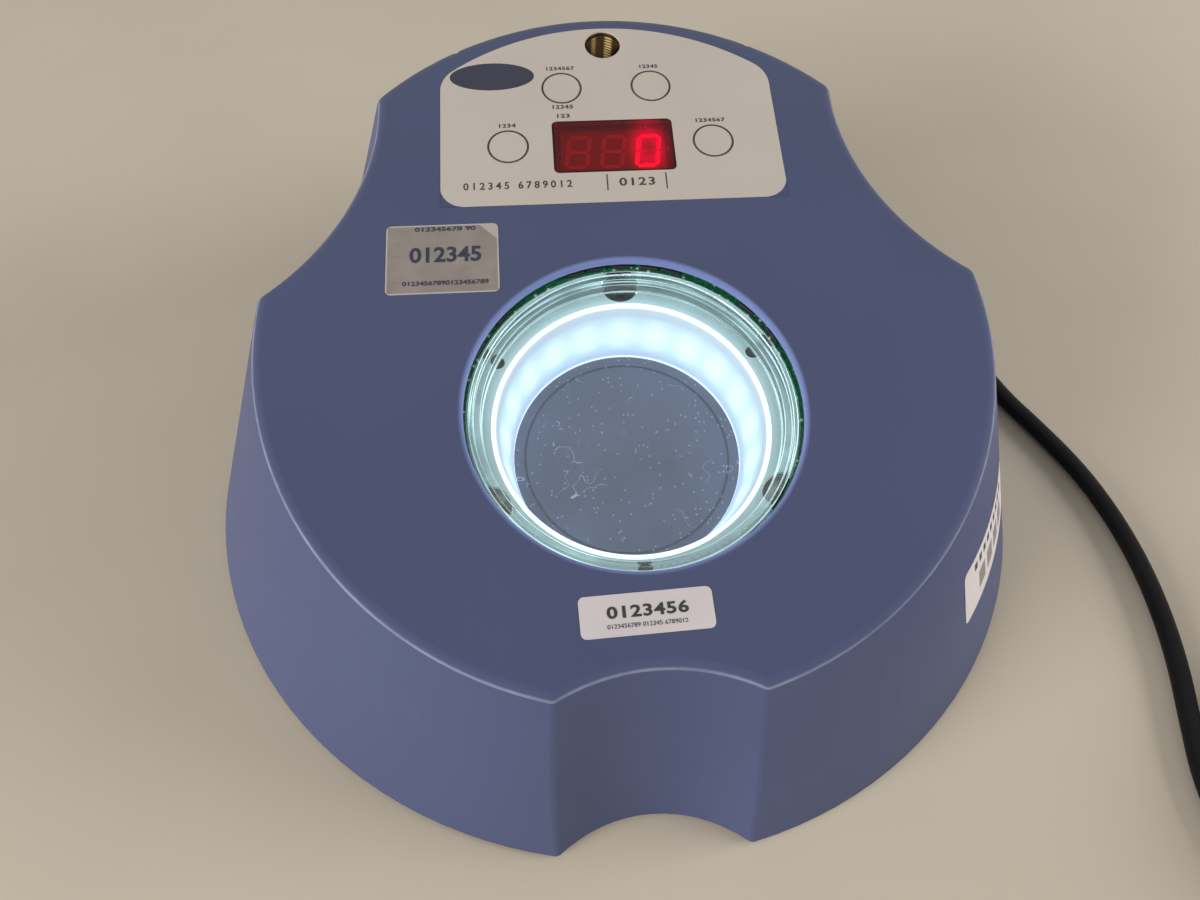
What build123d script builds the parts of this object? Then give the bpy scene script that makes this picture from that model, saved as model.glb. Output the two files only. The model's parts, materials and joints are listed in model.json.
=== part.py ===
"""Colony counter: a moulded bench instrument with a lit well for a Petri dish.

The base edge is level and the deck slopes up towards the back. All that hangs from the
deck is placed in the deck's own plane: x to the right, y up the slope, and depths
measured down along its normal from the well's centre.
"""

from build123d import *
from math import cos, pi, radians, sin, sqrt, tan
import os

# ---------------------------------------------------------------- driving sizes, mm
foot_stand = 2.0            # gap between the table and the shell's base edge
well_y = -47.1              # the well's centre, from the middle of the footprint
deck_height = 87.2          # deck above the base edge, at the well's centre
deck_tilt = 12.3            # degrees, rising to the back

lobe_radius = 157.0         # body lobes, at the base edge
lobe_y = well_y + 40.0
head_radius = 153.4         # head, at the base edge
head_y = well_y + 54.4
wall_taper = 0.38           # inward per mm of height, lobes and head
waist_radius = 60.9         # hollow each side, at the base edge
waist_x = 178.0
waist_y = well_y + 114.0
waist_taper = 0.30
scallop_radius = 49.3       # hollow at the front, at the base edge
scallop_y = well_y - 152.0
scallop_taper = 0.32
form_height = 140.0         # the raw form, before the deck cuts it

wall = 3.0
top_edge_radius = 4.0
shoulder_radius = 5.0
cusp_radius = 3.0

groove_width = 2.2          # vent grooves on the head's rear wall
groove_depth = 2.2
groove_pitch = 5.5
groove_first_x = 44.0
groove_count = 3
groove_foot = 58.0
slot_foot = 70.0            # the through slots stand inside the grooves
slot_head = 100.0

screw_clearance = 0.05      # screw shank in its pilot hole
screw_head_round = 0.4      # of the head's height

# base
plate_thickness = 3.0
plate_lift = 0.5            # plate's underside above the shell's base edge
plate_gap = 0.4
foot_radius = 9.0
foot_chamfer = 0.8
foot_places = [(-95, -62), (95, -62), (-78, 100), (78, 100)]
base_boss_radius = 5.0
base_boss_reach = 15.0      # boss centres in from the shell's base edge
base_boss_angles = [-58, -8, 188, 238]
head_boss_angles = [58, 122]
base_screw_radius = 1.7
base_screw_head = 3.1
base_screw_head_height = 1.6
base_screw_length = 14.0
base_vent_length = 46.0
base_vent_width = 3.0
base_vent_count = 7
base_vent_pitch = 8.0

# well
aperture_radius = 54.4
aperture_lip_radius = 0.9
carrier_radius = 53.2
carrier_top = 5.2
carrier_rim_bore = 51.6
carrier_step = 7.9
dish_bore = 49.3
dish_floor = 12.5
carrier_bottom = 14.5
carrier_rim_round = 0.5
carrier_travel = 0.6

support_top = 16.0
support_thickness = 2.0
support_radius = 63.2
sensor_ring_radius = 53.7
sensor_angles = [90, 210, 330]
sensor_hole_radius = 6.6
sensor_radius = 6.1
sensor_plunger_ring = 51.0  # the plungers stand under the carrier's edge
sensor_top = 16.4
sensor_bottom = 24.0
plunger_radius = 1.8
plunger_clearance = 0.08
plunger_tip = 19.0
support_screw_ring = 50.3
support_screw_angles = [30, 150, 270]
support_screw_radius = 1.3
support_screw_head = 2.3
support_screw_head_height = 1.3
support_screw_length = 9.0
support_post_radius = 2.6

diffuser_top_radius = 45.0  # inside
diffuser_bottom_radius = 40.2
diffuser_top = 15.9
diffuser_bottom = 43.4
diffuser_wall = 1.4
diffuser_gap = 0.1
disc_radius = 42.2
disc_thickness = 2.0
disc_groove_radius = 36.6
disc_groove_width = 0.8
disc_groove_depth = 0.4

pot_bore = 61.2
pot_wall = 2.2
pot_floor = 2.4
pot_lug_angles = [45, 135, 225, 315]
pot_lug_ring = 70.0
pot_lug_radius = 4.6
pot_lug_thickness = 3.0
pot_screw_radius = 1.4
pot_screw_head = 2.8
pot_screw_head_height = 1.8
pot_screw_length = 10.0
sensor_post_radius = 3.2

strip_top = 25.5
strip_height = 12.0
strip_thickness = 0.8
strip_gap = 0.05
emitter_count = 24
emitter_length = 5.0
emitter_height = 5.0
emitter_thickness = 1.4

ring_board_bore = 53.9
ring_board_radius = 65.6
ring_board_top = 6.0
board_thickness = 1.6
ring_board_screw_ring = 61.0
ring_board_screw_angles = [0, 120, 180, 60, 240, 300]
ring_boss_radius = 3.2
ring_chip_angles = [72, 80, 90, 99, 107, 28, 41, 138, 153, 345, 200]
ring_chip_length = 6.0
ring_chip_width = 3.2
ring_chip_height = 1.6
ring_chip_inset = 0.6

# panel, in the deck's plane
overlay_half_width = 61.0
overlay_front = 78.2
overlay_side_back = 136.0
overlay_back = 159.2
overlay_thickness = 0.5
overlay_recess = 0.4
overlay_gap = 0.08
overlay_front_corner = 8.0
overlay_back_corner = 12.0
key_places = [(-16.5, 130.2), (16.5, 130.2), (-36.9, 103.8), (36.9, 103.8)]
key_radius = 7.3
key_gap = 0.15
key_stem_radius = 3.0
key_stem_clearance = 0.3
key_travel = 0.3
key_overtravel = 0.06
window_x = 0.8
window_y = 103.0
window_width = 43.4
window_height = 23.0
window_corner = 2.0
window_gap = 0.12
window_flange = 2.0
window_flange_thickness = 1.0
display_width = 37.6
display_height = 19.0
display_thickness = 8.0
display_gap = 0.2
digit_pitch = 12.7
digit_height = 13.4
digit_width = 7.4
digit_slant = 8.0
segment_stroke = 1.5
segment_gap = 0.25
segment_depth = 0.3

bush_y = 150.9
bush_radius = 7.4
bush_bore = 6.4
bush_length = 24.0
bush_hole_radius = 6.7      # in the overlay
bush_flange_radius = 8.0
bush_flange_thickness = 1.5
bush_gap = 0.06
bush_chamfer = 0.5
bush_nut_size = 20.0        # across flats
bush_nut_thickness = 5.0

# control board, under the panel
control_width = 112.0
control_depth = 52.0
control_y = 111.0
control_boss_radius = 3.4
control_boss_inset = 4.5
small_screw_radius = 1.2
small_screw_head = 2.4
small_screw_head_height = 1.5
small_screw_length = 7.0
switch_side = 6.0
switch_body_height = 3.6
switch_height = 5.0
switch_plunger_radius = 1.75

control_chip_sizes = [      # x, y, width, length, height on the board's underside
    (-22.0, 112.0, 14.0, 14.0, 1.6),
    (6.0, 118.0, 10.0, 6.0, 1.6),
    (24.0, 98.0, 8.0, 12.0, 2.6),
    (-6.0, 95.0, 12.0, 5.0, 1.6),
    (0.0, 90.5, 18.0, 4.0, 5.0),
]
buzzer_place = (36.0, 122.0)
buzzer_radius = 6.0
buzzer_height = 7.5
buzzer_hole_radius = 1.2

# rear connections
pocket_half_width = 50.0
pocket_top = 50.0
pocket_foot = 6.0
pocket_face_y = 138.0
pocket_wall = 2.5
pocket_back_wall = 3.0
rear_window_half_width = 43.0
rear_window_top = 43.0
rear_window_foot = 12.0
panel_plate_margin = 5.0
panel_screw_inset = 2.5
panel_plate_thickness = 2.0
rear_row_z = 27.5
inlet_x = 26.0
inlet_width = 27.0
inlet_height = 19.8
inlet_flange_width = 31.0
inlet_flange_height = 24.0
inlet_flange_thickness = 2.0
inlet_depth = 20.0          # behind the flange
inlet_corner = 4.0
inlet_cavity_depth = 15.5
cutout_gap = 0.15
blade_places = [(-7.0, -2.0), (7.0, -2.0), (0.0, 2.5)]
blade_width = 2.0
blade_height = 4.0
blade_reach = 13.0          # from the cavity's floor
blade_tab = 8.0             # behind the inlet
rocker_x = -4.0
rocker_body_width = 12.8
rocker_body_height = 18.8
rocker_flange_width = 15.6
rocker_flange_height = 22.0
rocker_flange_thickness = 1.2
rocker_body_depth = 15.0
rocker_well_depth = 9.0
rocker_width = 10.4
rocker_radius = 8.2
rocker_gap = 0.2
rocker_pivot_depth = 3.0    # behind the flange's face
rocker_pin_radius = 1.0
rocker_pin_clearance = 0.06
rocker_pin_half_length = 6.0
rocker_face_end = 4.8
rocker_face_middle = 3.6
rocker_back = 2.5
rocker_throw = 8.0          # degrees each way
serial_x = -29.0
serial_width = 19.0
serial_height = 10.4
serial_corner = 2.0
serial_flange_width = 31.0
serial_flange_height = 12.5
serial_flange_thickness = 1.0
serial_depth = 9.0
serial_face_width = 16.8
serial_face_height = 8.4
serial_face_reach = 5.6
serial_hole_radius = 0.55
serial_hole_pitch = 2.76
serial_row_pitch = 2.84
serial_post_spacing = 25.0
serial_post_size = 5.0      # across flats
serial_post_length = 5.2
serial_post_bore = 1.4

# power supply
supply_x = 0.0
supply_y = 72.0
supply_width = 100.0
supply_length = 56.0
supply_lift = 6.0
supply_boss_radius = 3.4
supply_boss_inset = 4.5
core_place = (-26.0, 72.0)
core_width = 44.0
core_length = 36.0
core_height = 20.0
winding_width = 27.0
winding_length = 31.0
winding_height = 28.0
winding_corner = 5.0
winding_gap = 0.1
capacitor_places = [(12.0, 61.0), (12.0, 81.0)]
capacitor_radius = 7.5
capacitor_height = 24.0
capacitor_round = 1.0
sink_place = (36.0, 72.0)
sink_width = 14.0
sink_length = 30.0
sink_height = 25.0
sink_base = 3.0
sink_fin_count = 6
sink_fin_thickness = 1.4
terminal_places = [(-8.0, 94.0, 20.0, 8.0, 12.0), (30.0, 50.5, 10.0, 6.0, 8.0)]
lead_radius = 1.5
lead_straight = 9.0         # behind each blade
lead_swing = 12.0
lead_offsets = [4.0, -4.0]  # on the terminal block
lead_crests = [36.0, 42.0]
supply_lead_rise = 18.0
supply_lead_run = 24.0      # straight below the control board

# ribbon between the boards, in the deck's section
ribbon_width = 14.0
ribbon_thickness = 0.9
ribbon_bend = 1.6
ribbon_reach = 19.2         # level run below the control board
ribbon_drop = 2.4           # below the ring board's socket
ring_header = (0.0, 59.5, 18.0, 4.0, 5.0)

# mains lead
cord_radius = 3.5
connector_width = 24.0      # of the nose that enters the inlet
connector_height = 16.6
connector_length = 32.0
relief_length = 26.0
relief_root_radius = 6.0
relief_tip_radius = 4.2
connector_nose = 15.0       # in the inlet
connector_skin = 1.6
connector_clearance = 0.25
connector_stand_off = 0.3   # from the inlet's flange
connector_round = 2.0
slot_clearance = 0.2        # round each blade
bend_share = 0.45           # of the shorter run, taken up by an arc
# route of the cord on the table: x, y, height of its centre
cord_route = [
    (26.0, 226.0, 27.0),
    (33.0, 248.0, 12.0),
    (54.0, 260.0, 3.6),
    (82.0, 256.0, 3.6),
    (107.0, 238.0, 3.6),
    (124.0, 210.0, 3.6),
    (134.0, 177.0, 3.6),
    (142.0, 144.0, 3.6),
    (150.0, 112.0, 3.6),
    (157.0, 80.0, 3.6),
    (162.0, 48.0, 3.6),
    (170.0, 17.0, 3.6),
    (181.0, -4.0, 3.6),
    (190.0, -24.0, 3.6),
    (195.5, -44.0, 3.6),
    (198.5, -66.0, 3.6),
    (198.5, -88.0, 3.6),
    (196.0, -110.0, 3.6),
    (191.0, -132.0, 3.6),
    (186.5, -153.0, 3.6),
    (187.0, -175.0, 3.6),
    (198.0, -195.0, 3.6),
    (219.0, -208.5, 3.6),
]
coil_x = 253.0
coil_y = -168.0
coil_turn_radius = 41.5     # between the two columns of turns
coil_full_layers = 2        # with a third layer on the outer column only
coil_turns = 4.25
coil_mean_radius = 42.3     # of all the turns
coil_corner = 3.0
coil_lift = 0.1
coil_entry = (253.0, -213.0, 3.6)
tail_route = [(298.0, -180.0, 17.6), (298.0, -158.0, 17.6), (300.0, -138.0, 19.1)]
plug_radius = 19.0
plug_length = 22.0
plug_neck = 10.0            # between the grip and the full round
plug_grip_radius = 12.0
plug_grip_length = 18.0
plug_round = 3.0
plug_pin_radius = 2.4
plug_pin_length = 19.0
plug_pin_spacing = 19.0

# ---------------------------------------------------------------- frames
base_edge = foot_stand
deck_origin = (0, well_y, base_edge + deck_height)
deck_normal = (0, -sin(radians(deck_tilt)), cos(radians(deck_tilt)))
deck = Plane(origin=deck_origin, x_dir=(1, 0, 0), z_dir=deck_normal)
deck_axis = Axis(deck_origin, deck_normal)
deck_section = Plane(origin=deck_origin, x_dir=(1, 0, 0), z_dir=(0, -deck_normal[2], deck_normal[1]))
deck_slope = tan(radians(deck_tilt))

os.makedirs("parts", exist_ok=True)


def write(part, name):
    part.label = name
    export_step(part, f"parts/{name}.step")


def depth(distance):
    """The deck's plane, moved down along its normal."""
    return deck.offset(-distance)


def ring_points(radius, angles):
    return [(radius * cos(radians(a)), radius * sin(radians(a))) for a in angles]


def overlay_outline(inset):
    """Outline of the panel overlay: straight sides, an arched back and round corners."""
    half_width = overlay_half_width - inset
    with BuildSketch() as outline:
        with BuildLine():
            Line((-half_width, overlay_side_back), (-half_width, overlay_front + inset))
            Line((-half_width, overlay_front + inset), (half_width, overlay_front + inset))
            Line((half_width, overlay_front + inset), (half_width, overlay_side_back))
            ThreePointArc(
                (half_width, overlay_side_back), (0, overlay_back - inset), (-half_width, overlay_side_back)
            )
        make_face()
        back = outline.vertices().group_by(Axis.Y)[-1]
        front = outline.vertices().group_by(Axis.Y)[0]
        fillet(back, overlay_back_corner)
        fillet(front, overlay_front_corner)
    return outline.sketch


# ---------------------------------------------------------------- outer form
def housing_form(inset):
    """Drafted form of the housing, every face moved in by the inset."""
    lean = inset * sqrt(1 + wall_taper**2)
    drop = wall_taper * form_height
    upright = (Align.CENTER, Align.CENTER, Align.MIN)
    with BuildPart() as form:
        for y, radius in ((lobe_y, lobe_radius - lean), (head_y, head_radius - lean)):
            with Locations((0, y, base_edge)):
                Cone(radius, radius - drop, form_height, align=upright)
        waist = waist_radius + inset * sqrt(1 + waist_taper**2)
        with Locations((-waist_x, waist_y, base_edge), (waist_x, waist_y, base_edge)):
            Cone(waist, waist + waist_taper * form_height, form_height, align=upright, mode=Mode.SUBTRACT)
        scallop = scallop_radius + inset * sqrt(1 + scallop_taper**2)
        with Locations((0, scallop_y, base_edge)):
            Cone(scallop, scallop + scallop_taper * form_height, form_height, align=upright, mode=Mode.SUBTRACT)
        split(bisect_by=depth(inset), keep=Keep.BOTTOM)
    return form.part


def head_wall_y(x, z):
    """Where the head's rear wall stands at a width and a height."""
    radius = head_radius - wall_taper * (z - base_edge)
    return head_y + sqrt(radius**2 - x**2)


with BuildPart() as outer:
    add(housing_form(0))
    upright_edges = outer.edges().filter_by(lambda edge: abs(edge.tangent_at(0.5).Z) > 0.5)
    fillet(upright_edges.filter_by(lambda edge: edge.center().Y > well_y), shoulder_radius)
    upright_edges = outer.edges().filter_by(lambda edge: abs(edge.tangent_at(0.5).Z) > 0.5)
    fillet(upright_edges.filter_by(lambda edge: abs(edge.center().X) < scallop_radius), cusp_radius)
    fillet(outer.faces().sort_by(deck_axis)[-1].edges(), top_edge_radius)

# ---------------------------------------------------------------- places worked out
plate_bottom = base_edge + plate_lift
plate_top = plate_bottom + plate_thickness


def base_boss_places():
    lobe_reach = lobe_radius - base_boss_reach
    head_reach = head_radius - base_boss_reach
    lobes = [(x, y + lobe_y) for x, y in ring_points(lobe_reach, base_boss_angles)]
    return lobes + [(x, y + head_y) for x, y in ring_points(head_reach, head_boss_angles)]


def control_boss_places():
    x = control_width / 2 - control_boss_inset
    y = control_depth / 2 - control_boss_inset
    return [(sx * x, control_y + sy * y) for sx in (-1, 1) for sy in (-1, 1)]


overlay_top = overlay_recess - overlay_thickness
window_flange_top = wall
display_top = window_flange_top + window_flange_thickness + display_gap
control_top = display_top + display_thickness
control_underside = control_top + board_thickness
key_stem_bottom = control_top - switch_height - key_travel - key_overtravel
bush_top = overlay_recess + bush_gap
pot_top = support_top + support_thickness
pot_floor_top = diffuser_bottom + disc_thickness
pot_bottom = pot_floor_top + pot_floor
pot_radius = pot_bore + pot_wall
panel_plate_half_width = rear_window_half_width + panel_plate_margin
panel_plate_foot = rear_window_foot - panel_plate_margin
panel_plate_top = rear_window_top + panel_plate_margin
panel_plate_face = pocket_face_y + panel_plate_thickness


def supply_boss_places():
    x = supply_width / 2 - supply_boss_inset
    y = supply_length / 2 - supply_boss_inset
    return [(supply_x + sx * x, supply_y + sy * y) for sx in (-1, 1) for sy in (-1, 1)]


def panel_screw_places():
    x = panel_plate_half_width - panel_screw_inset
    low = panel_plate_foot + panel_screw_inset
    high = panel_plate_top - panel_screw_inset
    return [(sx * x, z) for sx in (-1, 1) for z in (low, high)]


def rear_plane(x, y):
    """Faces backwards, at the height of the rear row of sockets."""
    return Plane(origin=(x, y, rear_row_z), x_dir=(-1, 0, 0), z_dir=(0, 1, 0))


# ---------------------------------------------------------------- upper shell
with BuildPart() as base_bosses:
    with BuildSketch(Plane.XY.offset(plate_top + plate_gap)):
        with Locations(*base_boss_places()):
            Circle(base_boss_radius)
    extrude(amount=deck_height)
    add(outer.part, mode=Mode.INTERSECT)

with BuildPart() as pocket_block:
    with BuildSketch(Plane.XZ.offset(pocket_back_wall - pocket_face_y)):
        with Locations((0, (base_edge + pocket_top + pocket_wall) / 2)):
            Rectangle(2 * (pocket_half_width + pocket_wall), pocket_top + pocket_wall - base_edge)
    extrude(amount=-(lobe_radius + pocket_back_wall - pocket_face_y + head_y))
    add(outer.part, mode=Mode.INTERSECT)

with BuildPart() as upper_shell:
    add(outer.part)
    add(housing_form(wall), mode=Mode.SUBTRACT)
    add(base_bosses.part)
    add(pocket_block.part)
    # deck bosses: lamp housing, ring board, control board
    with BuildSketch(depth(pot_top)):
        with Locations(*ring_points(pot_lug_ring, pot_lug_angles)):
            Circle(pot_lug_radius - 0.6)
    extrude(amount=pot_top - wall)
    with BuildSketch(depth(ring_board_top)):
        with Locations(*ring_points(ring_board_screw_ring, ring_board_screw_angles)):
            Circle(ring_boss_radius)
    extrude(amount=ring_board_top - wall)
    with BuildSketch(depth(control_top)):
        with Locations(*control_boss_places()):
            Circle(control_boss_radius)
    extrude(amount=control_top - wall)
    # pilot holes
    with BuildSketch(Plane.XY.offset(plate_top)):
        with Locations(*base_boss_places()):
            Circle(base_screw_radius + screw_clearance)
    extrude(amount=base_screw_length, mode=Mode.SUBTRACT)
    with BuildSketch(depth(pot_top)):
        with Locations(*ring_points(pot_lug_ring, pot_lug_angles)):
            Circle(pot_screw_radius + screw_clearance)
    extrude(amount=pot_screw_length, mode=Mode.SUBTRACT)
    with BuildSketch(depth(ring_board_top)):
        with Locations(*ring_points(ring_board_screw_ring, ring_board_screw_angles)):
            Circle(small_screw_radius + screw_clearance)
    extrude(amount=ring_board_top - wall / 2, mode=Mode.SUBTRACT)
    with BuildSketch(depth(control_top)):
        with Locations(*control_boss_places()):
            Circle(small_screw_radius + screw_clearance)
    extrude(amount=small_screw_length, mode=Mode.SUBTRACT)
    # the well's mouth
    with BuildSketch(depth(wall)):
        Circle(aperture_radius)
    extrude(amount=2 * wall, mode=Mode.SUBTRACT)
    mouth = upper_shell.edges().filter_by(GeomType.CIRCLE).filter_by(
        lambda edge: abs(edge.radius - aperture_radius) < 0.01
    )
    fillet(mouth.sort_by(deck_axis)[-1], aperture_lip_radius)
    # recess for the overlay, wells and holes for keys, window and bush
    with BuildSketch(depth(overlay_recess)):
        add(overlay_outline(0))
    extrude(amount=overlay_recess, mode=Mode.SUBTRACT)
    with BuildSketch(depth(overlay_recess + key_travel + key_overtravel)):
        with Locations(*key_places):
            Circle(key_radius + 2 * key_gap)
    extrude(amount=key_travel + key_overtravel, mode=Mode.SUBTRACT)
    with BuildSketch(depth(wall)):
        with Locations(*key_places):
            Circle(key_stem_radius + key_stem_clearance)
        with Locations((window_x, window_y)):
            RectangleRounded(window_width + 2 * window_gap, window_height + 2 * window_gap, window_corner)
        with Locations((0, bush_y)):
            Circle(bush_radius + bush_gap)
    extrude(amount=wall, mode=Mode.SUBTRACT)
    with BuildSketch(depth(bush_top + bush_flange_thickness)):
        with Locations((0, bush_y)):
            Circle(bush_flange_radius + bush_gap)
    extrude(amount=bush_flange_thickness + bush_top, mode=Mode.SUBTRACT)
    # rear pocket and the window in its back wall
    with BuildSketch(Plane.XZ.offset(-pocket_face_y)):
        with Locations((0, (pocket_foot + pocket_top) / 2)):
            Rectangle(2 * pocket_half_width, pocket_top - pocket_foot)
    extrude(amount=-lobe_radius, mode=Mode.SUBTRACT)
    with BuildSketch(Plane.XZ.offset(-pocket_face_y)):
        with Locations((0, (rear_window_foot + rear_window_top) / 2)):
            Rectangle(2 * rear_window_half_width, rear_window_top - rear_window_foot)
    extrude(amount=2 * pocket_back_wall, mode=Mode.SUBTRACT)
    with BuildSketch(Plane.XZ.offset(-pocket_face_y)):
        with Locations(*panel_screw_places()):
            Circle(small_screw_radius + screw_clearance)
    extrude(amount=2 * pocket_back_wall, mode=Mode.SUBTRACT)
    # vent grooves down the head's rear wall, each with a slot through it
    for side in (-1, 1):
        for index in range(groove_count):
            x = side * (groove_first_x + index * groove_pitch)
            top = deck_height + deck_slope * head_radius
            with BuildSketch(Plane.YZ.offset(x)):
                with BuildLine():
                    Polyline(
                        (head_wall_y(x, groove_foot) - groove_depth, groove_foot),
                        (head_wall_y(x, top) - groove_depth, top),
                        (head_wall_y(x, top) + wall, top),
                        (head_wall_y(x, groove_foot) + wall, groove_foot),
                        close=True,
                    )
                make_face()
            extrude(amount=groove_width / 2, both=True, mode=Mode.SUBTRACT)
            with BuildSketch(Plane.YZ.offset(x)):
                with BuildLine():
                    Polyline(
                        (head_wall_y(x, slot_foot) - 2 * wall, slot_foot),
                        (head_wall_y(x, slot_head) - 2 * wall, slot_head),
                        (head_wall_y(x, slot_head), slot_head),
                        (head_wall_y(x, slot_foot), slot_foot),
                        close=True,
                    )
                make_face()
            extrude(amount=groove_width / 2, both=True, mode=Mode.SUBTRACT)
write(upper_shell.part, "upper_shell")

# ---------------------------------------------------------------- base
with BuildPart() as base_plate:
    add(housing_form(wall + plate_gap))
    split(bisect_by=Plane.XY.offset(plate_top), keep=Keep.BOTTOM)
    split(bisect_by=Plane.XY.offset(plate_bottom), keep=Keep.TOP)
    with BuildSketch(Plane.XY.offset(plate_top)):
        with Locations((0, pocket_face_y - pocket_back_wall - plate_gap + lobe_radius / 2)):
            Rectangle(2 * (pocket_half_width + pocket_wall + plate_gap), lobe_radius)
    extrude(amount=-plate_thickness, mode=Mode.SUBTRACT)
    with Locations(*[(x, y, plate_bottom) for x, y in base_boss_places()]):
        Hole(base_screw_radius + plate_gap, depth=2 * plate_thickness)
    with BuildSketch(Plane.XY.offset(plate_bottom)):
        with Locations(*base_boss_places()):
            Circle(base_screw_head + plate_gap)
    extrude(amount=base_screw_head_height, mode=Mode.SUBTRACT)
    with BuildSketch(Plane.XY.offset(plate_bottom)):
        with Locations((0, well_y)):
            with GridLocations(base_vent_length, base_vent_pitch, 1, base_vent_count):
                SlotOverall(base_vent_length, base_vent_width)
    extrude(amount=plate_thickness, mode=Mode.SUBTRACT)
    with BuildSketch(Plane.XY.offset(plate_top)):
        with Locations(*supply_boss_places()):
            Circle(supply_boss_radius)
    extrude(amount=supply_lift)
    with BuildSketch(Plane.XY.offset(plate_top + supply_lift)):
        with Locations(*supply_boss_places()):
            Circle(small_screw_radius + screw_clearance)
    extrude(amount=-small_screw_length, mode=Mode.SUBTRACT)
write(base_plate.part, "base_plate")

with BuildPart() as feet:
    with BuildSketch(Plane.XY):
        with Locations(*foot_places):
            Circle(foot_radius)
    extrude(amount=plate_bottom)
    chamfer(feet.edges().group_by(Axis.Z)[0], foot_chamfer)
write(feet.part, "feet")


def screws(plane, places, shank, head, head_height, length, away=1):
    """Round-headed screws: the head below the plane, the shank above it, or the reverse."""
    with BuildPart() as group:
        with BuildSketch(plane):
            with Locations(*places):
                Circle(head)
        extrude(amount=-away * head_height)
        levels = group.edges().group_by(Axis(plane.origin, plane.z_dir))
        fillet(levels[0] if away > 0 else levels[-1], screw_head_round * head_height)
        with BuildSketch(plane):
            with Locations(*places):
                Circle(shank)
        extrude(amount=away * length)
    return group.part


write(
    screws(
        Plane.XY.offset(plate_bottom + base_screw_head_height),
        base_boss_places(), base_screw_radius, base_screw_head, base_screw_head_height,
        base_screw_length - plate_gap,
    ),
    "base_screws",
)

# ---------------------------------------------------------------- panel
with BuildPart() as panel_overlay:
    with BuildSketch(depth(overlay_recess)):
        add(overlay_outline(overlay_gap))
        with Locations(*key_places):
            Circle(key_radius + key_gap, mode=Mode.SUBTRACT)
        with Locations((window_x, window_y)):
            RectangleRounded(
                window_width + 2 * window_gap, window_height + 2 * window_gap, window_corner, mode=Mode.SUBTRACT
            )
        with Locations((0, bush_y)):
            Circle(bush_hole_radius, mode=Mode.SUBTRACT)
    extrude(amount=overlay_thickness)
write(panel_overlay.part, "panel_overlay")

for number, place in enumerate(key_places, start=1):
    with BuildPart() as key:
        with BuildSketch(depth(overlay_recess)):
            with Locations(place):
                Circle(key_radius)
        extrude(amount=overlay_thickness)
        with BuildSketch(depth(overlay_recess)):
            with Locations(place):
                Circle(key_stem_radius)
        extrude(amount=overlay_recess - key_stem_bottom)
    write(key.part, f"key_{number}")

with BuildPart() as display_window:
    with BuildSketch(depth(window_flange_top)):
        with Locations((window_x, window_y)):
            RectangleRounded(window_width, window_height, window_corner)
    extrude(amount=window_flange_top - overlay_top)
    with BuildSketch(depth(window_flange_top)):
        with Locations((window_x, window_y)):
            Rectangle(window_width + 2 * window_flange, window_height + 2 * window_flange)
    extrude(amount=-window_flange_thickness)
write(display_window.part, "display_window")


# ---------------------------------------------------------------- display
def segment_places():
    """The seven bars of a digit: letter, place and turn, before the digit's slant."""
    x = digit_width / 2
    y = digit_height / 4
    return {
        "a": (0, 2 * y, 0), "b": (x, y, 90), "c": (x, -y, 90), "d": (0, -2 * y, 0),
        "e": (-x, -y, 90), "f": (-x, y, 90), "g": (0, 0, 0),
    }


def segment_sketch(lit):
    """The bars of all three digits that are lit, or that are dark."""
    slant = tan(radians(digit_slant))
    with BuildSketch() as bars:
        for digit in (-1, 0, 1):
            for letter, (x, y, turn) in segment_places().items():
                is_lit = digit == 1 and letter != "g"
                if is_lit != lit:
                    continue
                run = digit_width if turn == 0 else digit_height / 2
                half = run / 2 - segment_gap
                tip = segment_stroke / 2
                lean = digit_slant if turn else 0
                place = Location(
                    (window_x + digit * digit_pitch + x + slant * y, window_y + y), turn - lean
                )
                with Locations(place):
                    Polygon(
                        (-half, 0), (tip - half, -tip), (half - tip, -tip),
                        (half, 0), (half - tip, tip), (tip - half, tip), align=None,
                    )
    return bars.sketch


with BuildPart() as display_module:
    with BuildSketch(depth(display_top)):
        with Locations((window_x, window_y)):
            Rectangle(display_width, display_height)
    extrude(amount=-display_thickness)
    for lit in (True, False):
        with BuildSketch(depth(display_top)):
            add(segment_sketch(lit))
        extrude(amount=-segment_depth, mode=Mode.SUBTRACT)
write(display_module.part, "display_module")

for name, lit in (("lit_segments", True), ("dark_segments", False)):
    with BuildPart() as segments:
        with BuildSketch(depth(display_top)):
            add(segment_sketch(lit))
        extrude(amount=-segment_depth)
    write(segments.part, name)

# ---------------------------------------------------------------- control board
with BuildPart() as control_board:
    with BuildSketch(depth(control_top)):
        with Locations((0, control_y)):
            Rectangle(control_width, control_depth)
        with Locations(*control_boss_places()):
            Circle(small_screw_radius + plate_gap, mode=Mode.SUBTRACT)
    extrude(amount=-board_thickness)
write(control_board.part, "control_board")

write(
    screws(
        depth(control_top + board_thickness), control_boss_places(),
        small_screw_radius, small_screw_head, small_screw_head_height, small_screw_length,
    ),
    "control_screws",
)

with BuildPart() as key_switches:
    with BuildSketch(depth(control_top)):
        with Locations(*key_places):
            Rectangle(switch_side, switch_side)
    extrude(amount=switch_body_height)
    with BuildSketch(depth(control_top)):
        with Locations(*key_places):
            Circle(switch_plunger_radius)
    extrude(amount=switch_height)
write(key_switches.part, "key_switches")

with BuildPart() as control_chips:
    for x, y, width, length, height in control_chip_sizes:
        with BuildSketch(depth(control_underside)):
            with Locations((x, y)):
                Rectangle(width, length)
        extrude(amount=-height)
write(control_chips.part, "control_chips")

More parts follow.
